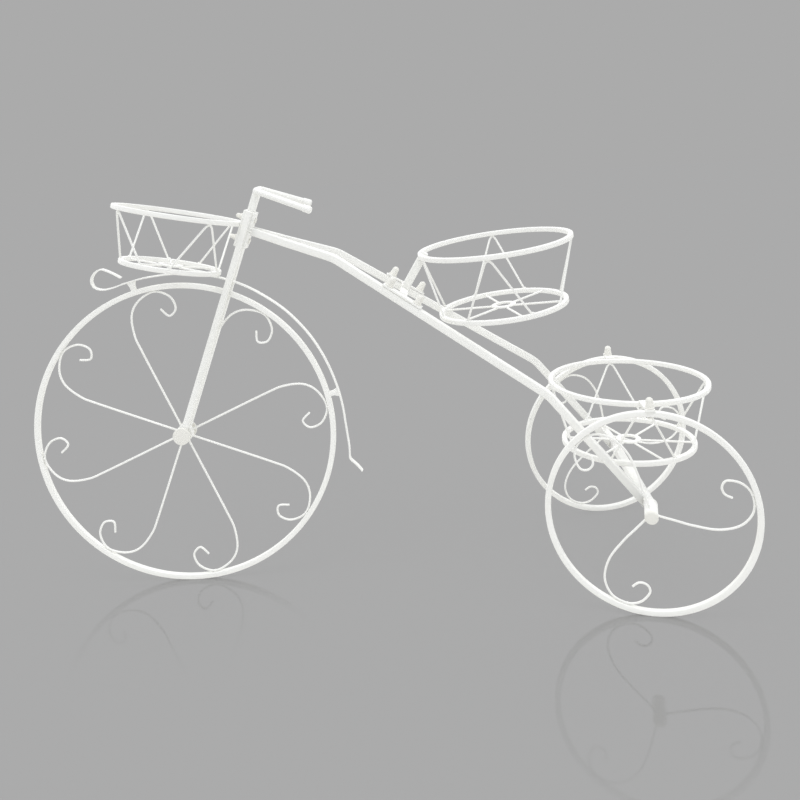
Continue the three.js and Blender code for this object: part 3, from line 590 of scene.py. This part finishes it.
# %% Stem frame
STEM_LEAN = 20.98 * DEG
ALONG = Vector((math.sin(STEM_LEAN), 0, math.cos(STEM_LEAN)))
REARWARD = Vector((math.cos(STEM_LEAN), 0, -math.sin(STEM_LEAN)))
BAR, BAR_CORNER, PLATE = 10.6, 1.6, 3
LEG, LEG_TOP, LEG_FOOT = 8.6, 337, 8
STEM_BOTTOM, HEAD_PLATE_FOOT = 258, 284
HEAD_MIDDLE = (HEAD_PLATE_FOOT + LEG_TOP) / 2
HANDLE_HEIGHT, HANDLE_TUBE, HANDLE_ROLL = 368.4, 9, 2.6 * DEG
LEG_OFFSET = BAR / 2 + SEAT + LEG / 2


def on_stem(height, back=0.0, y=0.0):
    return FRONT_AXLE + ALONG * height + REARWARD * back + ACROSS * y


def straight_bar(name, start, end, width, nodes):
    bar = grown(name, square_bar, [([start, end], False)], coated_bar(width, BAR_CORNER))
    hand_over(bar, nodes)


for side, sign in SIDES.items():
    y = sign * LEG_OFFSET
    straight_bar("fork_bar_" + side, on_stem(-LEG_FOOT, 0, y), on_stem(LEG_TOP, 0, y), LEG,
                 ["fork_leg_" + side])
stem_top = HANDLE_HEIGHT - HANDLE_TUBE / 2 - BAR / 2 * math.tan(HANDLE_ROLL)
straight_bar("stem_bar", on_stem(STEM_BOTTOM), on_stem(stem_top), BAR, ["stem"])

# %% [markdown]
# The handlebar is one tube with two tight bends, and it sits slightly askew, as on the real stand.
# Its path is rounded in Python: each bend leaves the straight run where an arc of its radius would.

# %% Handlebar
HANDLE_START, HANDLE_END, HANDLE_BEND = 14, 30, 6.5
HANDLE_REACHES = {"near": 85, "far": 74}
HANDLE_TACKS_BACK, HANDLE_TACKS_ACROSS = (-2, 2), (-3.5, 3.5)
GRIP, GRIP_LENGTH, GRIP_WALL = 10.4, 12.5, 2.5


def bend(start, corner, end, steps):
    """Points of a soft bend from start to end, drawn towards the corner."""
    turns = [i / steps for i in range(steps + 1)]
    return [start * (1 - t) ** 2 + corner * 2 * t * (1 - t) + end * t * t for t in turns]


def rounded_path(points, radius, steps=8):
    """A path past the points, with a soft bend at each corner, as wide as an arc of that radius."""
    path = [points[0]]
    for before, corner, after in zip(points, points[1:], points[2:]):
        back = (before - corner).normalized()
        ahead = (after - corner).normalized()
        reach = radius / math.tan(back.angle(ahead) / 2)
        path += bend(corner + back * reach, corner, corner + ahead * reach, steps)
    return path + [points[-1]]


def on_handle(back, across):
    return on_stem(HANDLE_HEIGHT + across * math.sin(HANDLE_ROLL), back, across * math.cos(HANDLE_ROLL))


tube_ends = {side: on_handle(HANDLE_REACHES[side] - GRIP_WALL - SEAT, sign * HANDLE_END)
             for side, sign in SIDES.items()}
handle_path = rounded_path([
    tube_ends["near"], on_handle(0, -HANDLE_START), on_handle(0, HANDLE_START), tube_ends["far"],
], HANDLE_BEND)
handle_tube = grown("tube", plain_wire, [(handle_path, False)], coated_tube(HANDLE_TUBE))
handle_tacks = [on_stem(stem_top, back, y) for back in HANDLE_TACKS_BACK for y in HANDLE_TACKS_ACROSS]
handle_weld = welds(handle_tacks, HANDLE_BEAD)
hand_over(joined("handlebar_tube", [handle_tube, handle_weld]), ["handlebar"])
for side, sign in SIDES.items():
    out = (tube_ends[side] - on_handle(0, sign * HANDLE_START)).normalized()
    aside = ALONG.cross(out).normalized()
    turned = basis(tube_ends[side], aside, out.cross(aside).normalized())
    bore, wide, top = HANDLE_TUBE / 2, GRIP / 2, GRIP_WALL + SEAT
    mouth = top - GRIP_LENGTH
    cap = spun("end_cap_" + side, [
        (0, SEAT), (bore, SEAT), (bore, mouth), (wide - 0.3, mouth), (wide, mouth + 0.4), (wide, 0.6),
        (wide - 0.4, 1.7), (wide - 1.4, top - 0.35), (wide - 2.6, top), (0, top),
    ], turned, cap_plastic)
    hand_over(cap, ["grip_cap_" + side])

# %% [markdown]
# ## Frame bars
# The two bars lie side by side at the head, spread behind it, and drop to the beam between the
# rear hubs. Each is one square tube with soft bends, bent so that two of its faces stay upright.
# The far bar stands a little higher than the near one. The ends are cut flat against the head
# plate and the beam.

# %% Corners of the bars
SPREAD_START, FIRST_BEND = (48.8, 18.1), (125, 44.7)
SECOND_BEND_AHEAD, SECOND_BEND_UP = 118.8, 140.4
BAR_TWIST, BAR_INSET = 1.5, 38.2
BAR_FOOT_Y = HALF_TRACK - BAR_INSET
BEND_RADIUS, BEND_STEPS = 60, 14
FOOT_BEAD_RISES, HEAD_BEAD_RISES = (-1, 2, 5), (-4, 0, 4)
BEAM, BEAM_X = 12, REAR_AXLE_X + 5
HUB_INNER, HUB_OUTER = 28, 9.3
PLATE_BACK = BAR / 2 + SEAT + PLATE / 2
HEAD_FACE = PLATE_BACK + PLATE / 2 + SEAT
BAR_OFFSET = BAR / 2 + SEAT / 2
head_point = on_stem(HEAD_MIDDLE)


def beam_point(y):
    near, far = [carried(outward(side), (0, -HUB_INNER - SEAT, 0)) for side in SIDES]
    return Vector((BEAM_X, y, near.z + (y - near.y) / (far.y - near.y) * (far.z - near.z)))


def bar_corners(sign):
    twist = sign * BAR_TWIST
    ends = [head_point + Vector((back, 0, twist - down)) for back, down in (SPREAD_START, FIRST_BEND)]
    ends.append(Vector((BEAM_X - SECOND_BEND_AHEAD, 0, axle_height("near") + SECOND_BEND_UP + twist)))
    ends.append(beam_point(sign * BAR_FOOT_Y) - UP * BEAM / 2)
    for corner in ends:
        share = (corner.x - ends[0].x) / (BEAM_X - ends[0].x)
        corner.y = sign * (BAR_OFFSET + share * (BAR_FOOT_Y - BAR_OFFSET))
    return ends


# %% Cut and make the bars
def cut_flat(piece, point, normal):
    """Cuts the piece with a plane, drops what lies along the normal and closes the end."""
    mesh = bmesh.new()
    mesh.from_mesh(piece.data)
    bmesh.ops.bisect_plane(mesh, geom=mesh.verts[:] + mesh.edges[:] + mesh.faces[:],
                           plane_co=point * MM, plane_no=normal, clear_outer=True)
    bmesh.ops.holes_fill(mesh, edges=[edge for edge in mesh.edges if edge.is_boundary])
    mesh.to_mesh(piece.data)
    mesh.free()


for side, sign in SIDES.items():
    head = on_stem(HEAD_MIDDLE, HEAD_FACE - PLATE, sign * BAR_OFFSET)
    corners = [head, *bar_corners(sign)]
    path = rounded_path(corners, BEND_RADIUS, BEND_STEPS)
    bar = grown("frame_tube_" + side, level_bar, [(path, False)], coated_bar(BAR, BAR_CORNER))
    cut_flat(bar, on_stem(HEAD_MIDDLE, HEAD_FACE), -REARWARD)
    cut_flat(bar, Vector((BEAM_X - BEAM / 2 - SEAT, 0, 0)), AHEAD)
    foot = corners[-1]
    tacks = [Vector((BEAM_X - BEAM / 2, foot.y + y, foot.z + BAR / 2 + rise))
             for y in (-BAR / 2, BAR / 2) for rise in FOOT_BEAD_RISES]
    tacks += [on_stem(HEAD_MIDDLE + rise, HEAD_FACE, sign * (BAR_OFFSET + BAR / 2))
              for rise in HEAD_BEAD_RISES]
    hand_over(joined("frame_bar_with_welds_" + side, [bar, welds(tacks, BAR_BEAD)]),
              ["frame_bar_" + side])

# %% Beam between the rear hubs
beam_ends = [beam_point(-HALF_TRACK), beam_point(HALF_TRACK)]
beam = grown("axle_beam", square_bar, [(beam_ends, False)], coated_bar(BEAM, BAR_CORNER))
for side in SIDES:
    end = carried(outward(side), (0, -HUB_INNER - SEAT / 2, 0))
    cut_flat(beam, end, outward(side).to_3x3() @ ACROSS)
hand_over(beam, ["rear_axle_beam"])

# %% [markdown]
# ## Hubs and axle bolts
# All are turned pieces, so each is a profile spun about the axle. The heads have a broken edge
# that catches the light as a thin ring.

# %% Hubs and axles
ALONG_AXLE = Matrix.Rotation(-math.pi / 2, 4, "X")
AXLE_HEAD, AXLE_HEAD_THICKNESS = 24.8, 3.2
AXLE, AXLE_HOLE, AXLE_EDGE, AXLE_REACH, AXLE_OVERLAP = 6, 6.6, 0.5, 6, 1
REAR_CAP, REAR_CAP_EDGE, FOOT_EDGE = 4, 2, 0.3


def tube_profile(inner, outer, low, high, edge=0.7):
    """Profile points of a tube whose outer edges are broken."""
    cut = edge * 0.3
    return [(inner, low), (outer - edge, low), (outer - cut, low + cut), (outer, low + edge),
            (outer, high - edge), (outer - cut, high - cut), (outer - edge, high),
            (inner, high), (inner, low)]


def head_profile(radius, low, high, edge=1.0, steps=5):
    """Profile points of a head that is round at its top edge."""
    turns = [i * math.pi / (2 * steps) for i in range(steps + 1)]
    arc = [(radius - edge + edge * math.cos(t), high - edge + edge * math.sin(t)) for t in turns]
    return [(0, low), (radius - FOOT_EDGE, low), (radius, low + FOOT_EDGE), *arc, (0, high)]


front_turn = FRONT_PLACE @ ALONG_AXLE
bush_profile = tube_profile(AXLE_HOLE / 2, FRONT_HUB / 2, -BAR / 2, BAR / 2)
front_bush = spun("front_hub_bush", bush_profile, front_turn, powder_coat)
hand_over(front_bush, ["front_hub"], body="front_wheel")
leg_face = LEG_OFFSET + LEG / 2 + SEAT
axle_head = head_profile(AXLE_HEAD / 2, leg_face, leg_face + AXLE_HEAD_THICKNESS)
far_cap = spun("front_axle_cap", axle_head, front_turn)
hand_over(far_cap, ["front_axle_nut"])
facing_near = FRONT_PLACE @ Matrix.Rotation(math.pi / 2, 4, "X")
near_head = spun("head", axle_head, facing_near)
shank = spun("shank", head_profile(AXLE / 2, -leg_face, leg_face, AXLE_EDGE), facing_near)
front_axle = joined("front_axle_with_head", [near_head, shank])
hand_over(front_axle, ["front_axle_bolt"])
for side in SIDES:
    turn = outward(side) @ ALONG_AXLE
    hub_profile = tube_profile(AXLE_HOLE / 2, REAR_HUB / 2, -HUB_INNER, HUB_OUTER)
    tube = spun("rear_hub_tube_" + side, hub_profile, turn, powder_coat)
    hand_over(tube, ["rear_hub_" + side])
    cap_foot = HUB_OUTER + SEAT
    cap_profile = head_profile(REAR_HUB / 2, cap_foot, cap_foot + REAR_CAP, REAR_CAP_EDGE)
    cap = spun("cap", cap_profile, turn)
    pin_profile = head_profile(AXLE / 2, -HUB_INNER - AXLE_REACH, HUB_OUTER + AXLE_OVERLAP, AXLE_EDGE)
    pin = spun("pin", pin_profile, turn)
    hand_over(joined("rear_axle_with_cap_" + side, [cap, pin]),
              ["rear_axle_bolt_" + side])

# %% [markdown]
# ## Stays of the mudguard
# Each stay is a small block that is widest under the strip. Its foot ends inside the hoop and its
# head inside the strip, where the paint hides both joints.

# %% Mudguard stays
STAYS = {"front": (104.8 * DEG, 1.0793), "rear": (12.2 * DEG, 1.0785)}
STAY_FOOT, STAY_HEAD, STAY_DEPTH, STAY_EDGE = 7, 13, 6, 0.6
for end, (angle, head_share) in STAYS.items():
    foot, head = FRONT_RIM + RIM_TUBE / 4, FRONT_RIM * head_share
    waist = (foot + head) / 2
    outline = [(-STAY_FOOT / 2, foot), (STAY_FOOT / 2, foot), (STAY_FOOT / 2, waist),
               (STAY_HEAD / 2, head), (-STAY_HEAD / 2, head), (-STAY_FOOT / 2, waist)]
    mesh = bmesh.new()
    corners = [mesh.verts.new(Vector((x, -STAY_DEPTH / 2, z)) * MM) for x, z in outline]
    face = mesh.faces.new(corners)
    pushed = bmesh.ops.extrude_face_region(mesh, geom=[face])["geom"]
    moved = [part for part in pushed if isinstance(part, bmesh.types.BMVert)]
    bmesh.ops.translate(mesh, vec=(0, STAY_DEPTH * MM, 0), verts=moved)
    bmesh.ops.recalc_face_normals(mesh, faces=mesh.faces)
    round_edges(mesh, STAY_EDGE)
    turn = FRONT_PLACE @ Matrix.Rotation(math.pi / 2 - angle, 4, "Y")
    hand_over(finished("guard_stay_block_" + end, mesh, turn, powder_coat),
              ["mudguard_stay_" + end], body="front_wheel")

# %% [markdown]
# ## Baskets
# A top ring, a smaller base ring, four side wires bent to a narrow arch, six floor wires and a
# flat ring in the middle of the floor. The rings are square tube, like the rims. The side wires of
# the real baskets were set by eye, so each has its own angles: a foot, the peak and a foot.

# %% Basket sizes
RING_TUBE, RING_CORNER = 6.8, 1.3
HUB_RING_OUTER, HUB_RING_INNER, HUB_RING_THICKNESS, HUB_RING_EDGE = 35, 22, 2.5, 0.5
PEAK_FALL, PEAK_STEPS, FLOOR_WIRES = 7, 10, 6
WELD_BITE, WELD_RISE, FLOOR_OVERLAP = 0.2, 1.4, 0.5
STRUT, STRUT_INSET = 11.6, 5
BASKETS = {
    "front": dict(top=87, base=67, depth=73.8, tilt=-12.2, roll=-4.2, floor_turn=-12,
                  wires=[(2, 44, 72), (110, 138, 167), (202, 224, 254), (285, 316, 359)]),
    "middle": dict(top=106.5, base=88.8, depth=89.8, tilt=5.1, roll=2, floor_turn=-16, strut_at=2,
                   wires=[(325, 352, 378), (64, 89, 116), (158, 188, 197), (232, 261, 292)]),
    "rear": dict(top=109, base=90.7, depth=86.1, tilt=-1.8, roll=0, floor_turn=-10,
                 wires=[(328, 359, 389), (62, 92, 122), (154, 180, 204), (242, 268, 300)]),
}
BRACKET_BACK, BRACKET_LENGTH, BRACKET_WIDTH, BRACKET_PITCH = 89.2, 62, 12, 46
FRONT_BASKET_AHEAD, FRONT_BASKET_RISE = 94.4, 25.9
MIDDLE_BASKET_BACK, MIDDLE_BASKET_RISE = 76.6, 129.2
REAR_BASKET_BACK, REAR_BASKET_DROP = 8.6, 4.6
BarFrame = namedtuple("BarFrame", "origin run across above")


def bar_frame(sign):
    """The bar's long straight run at the bracket: a point, and the ways along, across and up."""
    first, second = bar_corners(sign)[1:3]
    run = (second - first).normalized()
    across = UP.cross(run).normalized()
    return BarFrame(first + run * (BRACKET_BACK / run.x), run, across, run.cross(across).normalized())


near_bar, far_bar = bar_frame(-1), bar_frame(1)
bracket_middle = near_bar.origin.lerp(far_bar.origin, 0.5)
bracket_run = near_bar.run + far_bar.run
bracket_run.y = 0
bracket_run.normalize()
bracket_square = Vector((-bracket_run.z, 0, bracket_run.x))
BASKETS["front"]["centre"] = head_point + Vector((-FRONT_BASKET_AHEAD, 0, FRONT_BASKET_RISE))
BASKETS["middle"]["centre"] = (
    bracket_middle + bracket_run * MIDDLE_BASKET_BACK + bracket_square * MIDDLE_BASKET_RISE)
BASKETS["rear"]["centre"] = Vector((
    REAR_AXLE_X + REAR_BASKET_BACK, 0, axle_height("near") + RIM_TOP - REAR_BASKET_DROP))
print({label: [round(v, 1) for v in spec["centre"]] for label, spec in BASKETS.items()})


def basket_matrix(spec):
    turned = Matrix.Rotation(-spec["tilt"] * DEG, 4, "Y") @ Matrix.Rotation(spec["roll"] * DEG, 4, "X")
    return moved_by(spec["centre"]) @ turned


def level(radius, angle, height):
    return Vector((radius * math.cos(angle), radius * math.sin(angle), height))


# %% Wires and rings of a basket
def side_wire(spec, index):
    """One side wire: two straight legs and a round peak just under the top ring."""
    first, peak, last = [angle * DEG for angle in spec["wires"][index]]
    drop = (RING_TUBE + WIRE) / 2 - WELD_BITE
    inset = WIRE / 2 if index == spec.get("strut_at") else 0
    crown = level(spec["top"] - inset, peak, -drop)
    feet = [level(spec["base"], angle, -spec["depth"]) for angle in (first, last)]
    middle = (feet[0] + feet[1]) / 2
    height = (crown - middle).length
    corner = middle.lerp(crown, 1 + PEAK_FALL / height)
    share = 2 * PEAK_FALL / (height + PEAK_FALL)
    arch = bend(corner.lerp(feet[0], share), corner, corner.lerp(feet[1], share), PEAK_STEPS)
    return [feet[0], *arch, feet[1]]


def square_ring(radius, height):
    circle = [level(radius, turn, height) for turn in around(RING_STEPS)]
    return grown("ring", square_bar, [(circle, True)], coated_bar(RING_TUBE, RING_CORNER))


def basket_sides(spec):
    """The four side wires on their base ring, with a weld at each foot and peak."""
    wires = [side_wire(spec, i) for i in range(len(spec["wires"]))]
    sides = grown("sides", plain_wire, [(wire, False) for wire in wires], coated_tube(WIRE))
    feet = [wire[i] + UP * RING_TUBE / 2 for wire in wires for i in (0, -1)]
    peaks = [wire[PEAK_STEPS // 2 + 1] + UP * WELD_RISE
             for i, wire in enumerate(wires) if i != spec.get("strut_at")]
    return [square_ring(spec["base"], -spec["depth"]), sides, welds(feet + peaks, BASKET_BEAD)]


def basket_floor(spec):
    """Six wires from the flat middle ring to the inside of the base ring."""
    reach, floor_height = spec["base"] - RING_TUBE / 2, -spec["depth"]
    first_turn = spec["floor_turn"] * DEG
    line = [level(radius, 0, floor_height)
            for radius in ((HUB_RING_INNER + HUB_RING_OUTER) / 4, reach + FLOOR_OVERLAP)]
    turning = {"Copies": FLOOR_WIRES, "First Turn": first_turn}
    wires = grown("floor", plain_wire, [(line, False)], coated_tube(WIRE, **turning))
    half = HUB_RING_THICKNESS / 2
    profile = tube_profile(HUB_RING_INNER / 2, HUB_RING_OUTER / 2, -half, half, HUB_RING_EDGE)
    centre = spun("centre", profile, moved_by((0, 0, WIRE / 2 + floor_height)), powder_coat)
    tacks = [level(radius, turn, floor_height)
             for turn in around(FLOOR_WIRES, first_turn) for radius in (reach, HUB_RING_OUTER / 2)]
    return [wires, centre, welds(tacks, FLOOR_BEAD)]


# %% [markdown]
# ## What holds the baskets
# The front ring is welded to a plate in front of the stem. The middle one stands on a strut, a
# cross-piece and a plate on each bar. The rear one has a cranked lug on each side that lies on the
# rear rim and is bolted down through it.

# %% Plates, cross-piece, strut and lugs
LUG_WIDTH, LUG_BACK, LUG_OVERHANG, LUG_CRANK, LUG_BEND, LUG_CORNER = 12, 3, 6, 4, 12, 0.8
HEAD_WIDTH, PACKING_EDGE, STRUT_EDGE = 20, 0.3, 1.4
HEAD_LENGTH = LEG_TOP - HEAD_PLATE_FOOT


def head_plate(back):
    """A plate on the stem, with a packing strip on each side that closes its gap to a leg."""
    turned = basis(on_stem(HEAD_MIDDLE, back), REARWARD, ACROSS)
    packing = PLATE_BACK - PLATE / 2 - LEG / 2 + SEAT
    aside, strip = (BAR + HEAD_WIDTH) / 4, (HEAD_WIDTH - BAR) / 2
    inward = math.copysign(PLATE / 2 + packing / 2 - SEAT, -back)
    made = [plate("plate", (PLATE, HEAD_WIDTH, HEAD_LENGTH), turned)]
    for sign in SIDES.values():
        place = turned @ moved_by((inward, sign * aside, 0))
        made.append(plate("packing", (packing, strip, HEAD_LENGTH), place, PACKING_EDGE))
    return made


def bracket_pieces():
    """A plate on each bar, the cross-piece between them and the strut up to the ring."""
    lift = BAR / 2 + 2 * SEAT + PLATE / 2
    made = [plate("plate", (BRACKET_LENGTH, BRACKET_WIDTH, PLATE),
                  basis(bar.origin + bar.above * lift, bar.run, bar.across))
            for bar in (near_bar, far_bar)]
    slope = Vector((far_bar.run.x, 0, far_bar.run.z)).normalized()
    step = far_bar.origin - near_bar.origin
    side_to_side = step.normalized()
    normal = slope.cross(side_to_side).normalized()
    centre = bracket_middle + normal * (lift + BAR * far_bar.above.y)
    cross_place = basis(centre, side_to_side.cross(normal), side_to_side)
    made.append(plate("cross", (STRUT, step.length - BAR / 2, PLATE), cross_place))
    spec = BASKETS["middle"]
    rise = carried(basket_matrix(spec), (STRUT_INSET - spec["top"], 0, 0)) - centre
    length = rise.length + RING_TUBE / 2
    above = rise.normalized()
    ahead = ACROSS.cross(above).normalized()
    strut_place = basis(centre + above * length / 2, ahead, above.cross(ahead))
    made.append(plate("strut", (STRUT, STRUT, length), strut_place, STRUT_EDGE))
    return made


def lug_place(side, height):
    shift = -LUG_BACK if side == "near" else LUG_BACK
    return outward(side) @ moved_by((shift, 0, height))


def basket_lug(side):
    """A strip that leaves the top ring a little high and bends down to lie on the rim."""
    bolt = carried(lug_place(side, RIM_TOP + PLATE / 2), (0, 0, 0))
    above = outward(side).to_3x3() @ UP
    centre = BASKETS["rear"]["centre"]
    out = bolt - centre
    out.z = 0
    out.normalize()
    on_rim = (out - above * out.dot(above)).normalized()
    weld = centre + out * BASKETS["rear"]["top"] + UP * LUG_CRANK
    path = rounded_path([weld, bolt - on_rim * LUG_OVERHANG, bolt + on_rim * LUG_OVERHANG], LUG_BEND)
    return grown("lug", level_bar, [(path, False)], coated_bar(LUG_WIDTH, LUG_CORNER, PLATE))


# %% Baskets with their holders
hand_over(joined("head_clamp_plate", head_plate(PLATE_BACK)), ["head_plate"])
holders = {"front": head_plate(-PLATE_BACK), "middle": bracket_pieces(),
           "rear": [basket_lug(side) for side in SIDES]}
for label, spec in BASKETS.items():
    place = basket_matrix(spec)
    for part, made in (("cage", basket_sides(spec)), ("floor", basket_floor(spec))):
        piece = joined(f"{label}_basket_{part}_wirework", made)
        piece.data.transform(place)
        hand_over(piece, [f"{label}_basket_{part}"])
    ring = square_ring(spec["top"], 0)
    ring.data.transform(place)
    hand_over(joined(label + "_basket_ring", [ring, *holders[label]]), [label + "_basket_rim"])

# %% [markdown]
# ## Bolts with cap nuts
# The nuts are the tall kind that cover the bolt's end: a flange, a six-sided part and a dome. The
# edges of each part are rounded on their own, because they catch the light.

# %% Cap nuts
NUT_FLANGE, NUT_FLANGE_HEIGHT, NUT_HEX, NUT_HEX_HEIGHT = 12, 2, 9.6, 6
NUT_DOME, NUT_HEIGHT = 9.4, 14
BOLT_HEAD, BOLT_HEAD_HEIGHT, SMALL_EDGE = 7, 2.5, 0.8


def cap_nut(place):
    flange_profile = head_profile(NUT_FLANGE / 2, 0, NUT_FLANGE_HEIGHT, SMALL_EDGE)
    flange = spun("flange", flange_profile, place)
    return [flange, *hex_and_dome(NUT_HEX, NUT_HEX_HEIGHT, NUT_DOME, NUT_HEIGHT, place)]


seat_height = BAR / 2 + PLATE + 2 * SEAT
for side, bar in (("near", near_bar), ("far", far_bar)):
    for end, shift in (("front", -BRACKET_PITCH / 2), ("rear", BRACKET_PITCH / 2)):
        place = basis(bar.origin + bar.run * shift + bar.above * seat_height, bar.run, bar.across)
        nut = joined(f"bracket_cap_nut_{side}_{end}", cap_nut(place))
        hand_over(nut, [f"bracket_bolt_{side}_{end}"])
for side in SIDES:
    inside = lug_place(side, REAR_RIM - RIM_TUBE / 2 - SEAT) @ Matrix.Rotation(math.pi, 4, "X")
    head = spun("head", head_profile(BOLT_HEAD / 2, 0, BOLT_HEAD_HEIGHT, SMALL_EDGE), inside)
    nut = joined("basket_cap_nut_" + side, cap_nut(lug_place(side, RIM_TOP + PLATE)) + [head])
    hand_over(nut, ["basket_bolt_" + side])

# %% Head bolts
HEAD_BOLT_INSET = 11
HEAD_HEX, HEAD_HEX_HEIGHT, HEAD_DOME, HEAD_DOME_HEIGHT = 8.2, 4, 6.6, 10.5
HEAD_BOLT_HEAD, HEAD_BOLT_THICKNESS = 8.5, 2.2
HEAD_BOLTS = {"lower": HEAD_PLATE_FOOT + HEAD_BOLT_INSET, "upper": LEG_TOP - HEAD_BOLT_INSET}
for name, height in HEAD_BOLTS.items():
    ahead = basis(on_stem(height, -HEAD_FACE + SEAT), ALONG, ACROSS)
    behind = basis(on_stem(height, HEAD_FACE - SEAT), ACROSS, ALONG)
    nut = hex_and_dome(HEAD_HEX, HEAD_HEX_HEIGHT, HEAD_DOME, HEAD_DOME_HEIGHT, ahead)
    head = spun("head", head_profile(HEAD_BOLT_HEAD / 2, 0, HEAD_BOLT_THICKNESS), behind)
    hand_over(joined("head_cap_nut_" + name, [*nut, head]),
              ["head_bolt_" + name])

# %% [markdown]
# ## Floor, background and light
# The photograph is a cut-out on plain grey, with a weak mirror image under the wheels. The camera
# sees a floor that glows in that grey, a little less than all of it, and a thin gloss and a matt
# share make up the rest. So the grey is even, and the stand still has its shadow. The mirror image
# fades with the distance from where the wheels stand, and the glow takes its place there.

# %% Floor
GREY = "#ABABAB"
FLOOR_CORNERS_M = [(-12, -6, 0), (12, -6, 0), (12, 18, 0), (-12, 18, 0)]
MIRROR_SPOTS_MM = [((0, -50, 0), 230), ((REAR_AXLE_X, -HALF_TRACK - 60, 0), 420)]
floor_mesh = bpy.data.meshes.new("floor")
floor_mesh.from_pydata(FLOOR_CORNERS_M, [], [(0, 1, 2, 3)])
floor = linked("floor", floor_mesh)
floor_paper = bpy.data.materials.new("grey_paper_floor")
paper = emptied(floor_paper)
ray = add(paper, "ShaderNodeLightPath")
spot = add(paper, "ShaderNodeTexCoord")
matt = add(paper, "ShaderNodeBsdfDiffuse", {"Color": colour("#404040")})
gloss = add(paper, "ShaderNodeBsdfGlossy", {"Color": colour("#666666"), "Roughness": 0.03})
under_gloss = add(paper, "ShaderNodeEmission", {"Color": colour("#797979"), "Strength": 0.99})
beside = add(paper, "ShaderNodeEmission", {"Color": colour("#9E9E9E"), "Strength": 1.004})
mirror = add(paper, "ShaderNodeAddShader", {0: gloss, 1: under_gloss})
shares = []
for place, reach in MIRROR_SPOTS_MM:
    away = add(paper, "ShaderNodeVectorMath", {
        0: spot.outputs["Object"], 1: (STAND_PLACE + Vector(place)) * MM}, operation="DISTANCE")
    shares.append(add(paper, "ShaderNodeMapRange", {
        "Value": away.outputs["Value"], "From Min": 0.0, "From Max": reach * MM,
        "To Min": 1.0, "To Max": 0.0}, interpolation_type="SMOOTHSTEP"))
share = add(paper, "ShaderNodeMath", {0: shares[0], 1: shares[1]}, operation="MAXIMUM")
shown = add(paper, "ShaderNodeMixShader", {0: share, 1: beside, 2: mirror})
seen = add(paper, "ShaderNodeAddShader", {0: shown, 1: matt})
bounce = add(paper, "ShaderNodeBsdfDiffuse", {"Color": colour("#E2E1DE")})
both = add(paper, "ShaderNodeMixShader", {0: ray.outputs["Is Camera Ray"], 1: bounce, 2: seen})
add(paper, "ShaderNodeOutputMaterial", {"Surface": both})
floor_mesh.materials.append(floor_paper)

# %% [markdown]
# The room has a pale sky and a white wall behind the stand, which the gloss of the paint and of the
# floor shows. Only the camera sees plain grey there.

# %% World
world = bpy.data.worlds.new("studio")
studio = emptied(world)
ray = add(studio, "ShaderNodeLightPath")
backdrop = add(studio, "ShaderNodeBackground", {"Color": colour(GREY), "Strength": 1.0})
sky = add(studio, "ShaderNodeBackground", {"Color": colour("#F4F6FB"), "Strength": 0.75})
wall = add(studio, "ShaderNodeBackground", {"Color": colour("#FFFFFF"), "Strength": 1.15})
way = add(studio, "ShaderNodeTexCoord")
parts = add(studio, "ShaderNodeSeparateXYZ", {0: way.outputs["Generated"]})
behind = add(studio, "ShaderNodeMapRange", {
    "Value": parts.outputs["Y"], "From Min": 0.1, "From Max": 0.4})
room = add(studio, "ShaderNodeMixShader", {0: behind, 1: sky, 2: wall})
both = add(studio, "ShaderNodeMixShader", {0: ray.outputs["Is Camera Ray"], 1: room, 2: backdrop})
add(studio, "ShaderNodeOutputWorld", {"Surface": both})
scene.world = world


# %% Lamps
def soft_sun(name, towards, strength, spread):
    """A wide, even light. It has no edge and no falloff, so the floor stays one grey."""
    data = bpy.data.lights.new(name, "SUN")
    data.energy = strength
    data.angle = spread * DEG
    linked(name, data).rotation_euler = Vector(towards).to_track_quat("-Z", "Y").to_euler()


soft_sun("window_above", towards=(0.15, 0.35, -1), strength=1.2, spread=45)
soft_sun("window_right", towards=(-1, 0.5, -0.5), strength=0.3, spread=60)

# %% View settings
scene.view_settings.view_transform = "Standard"
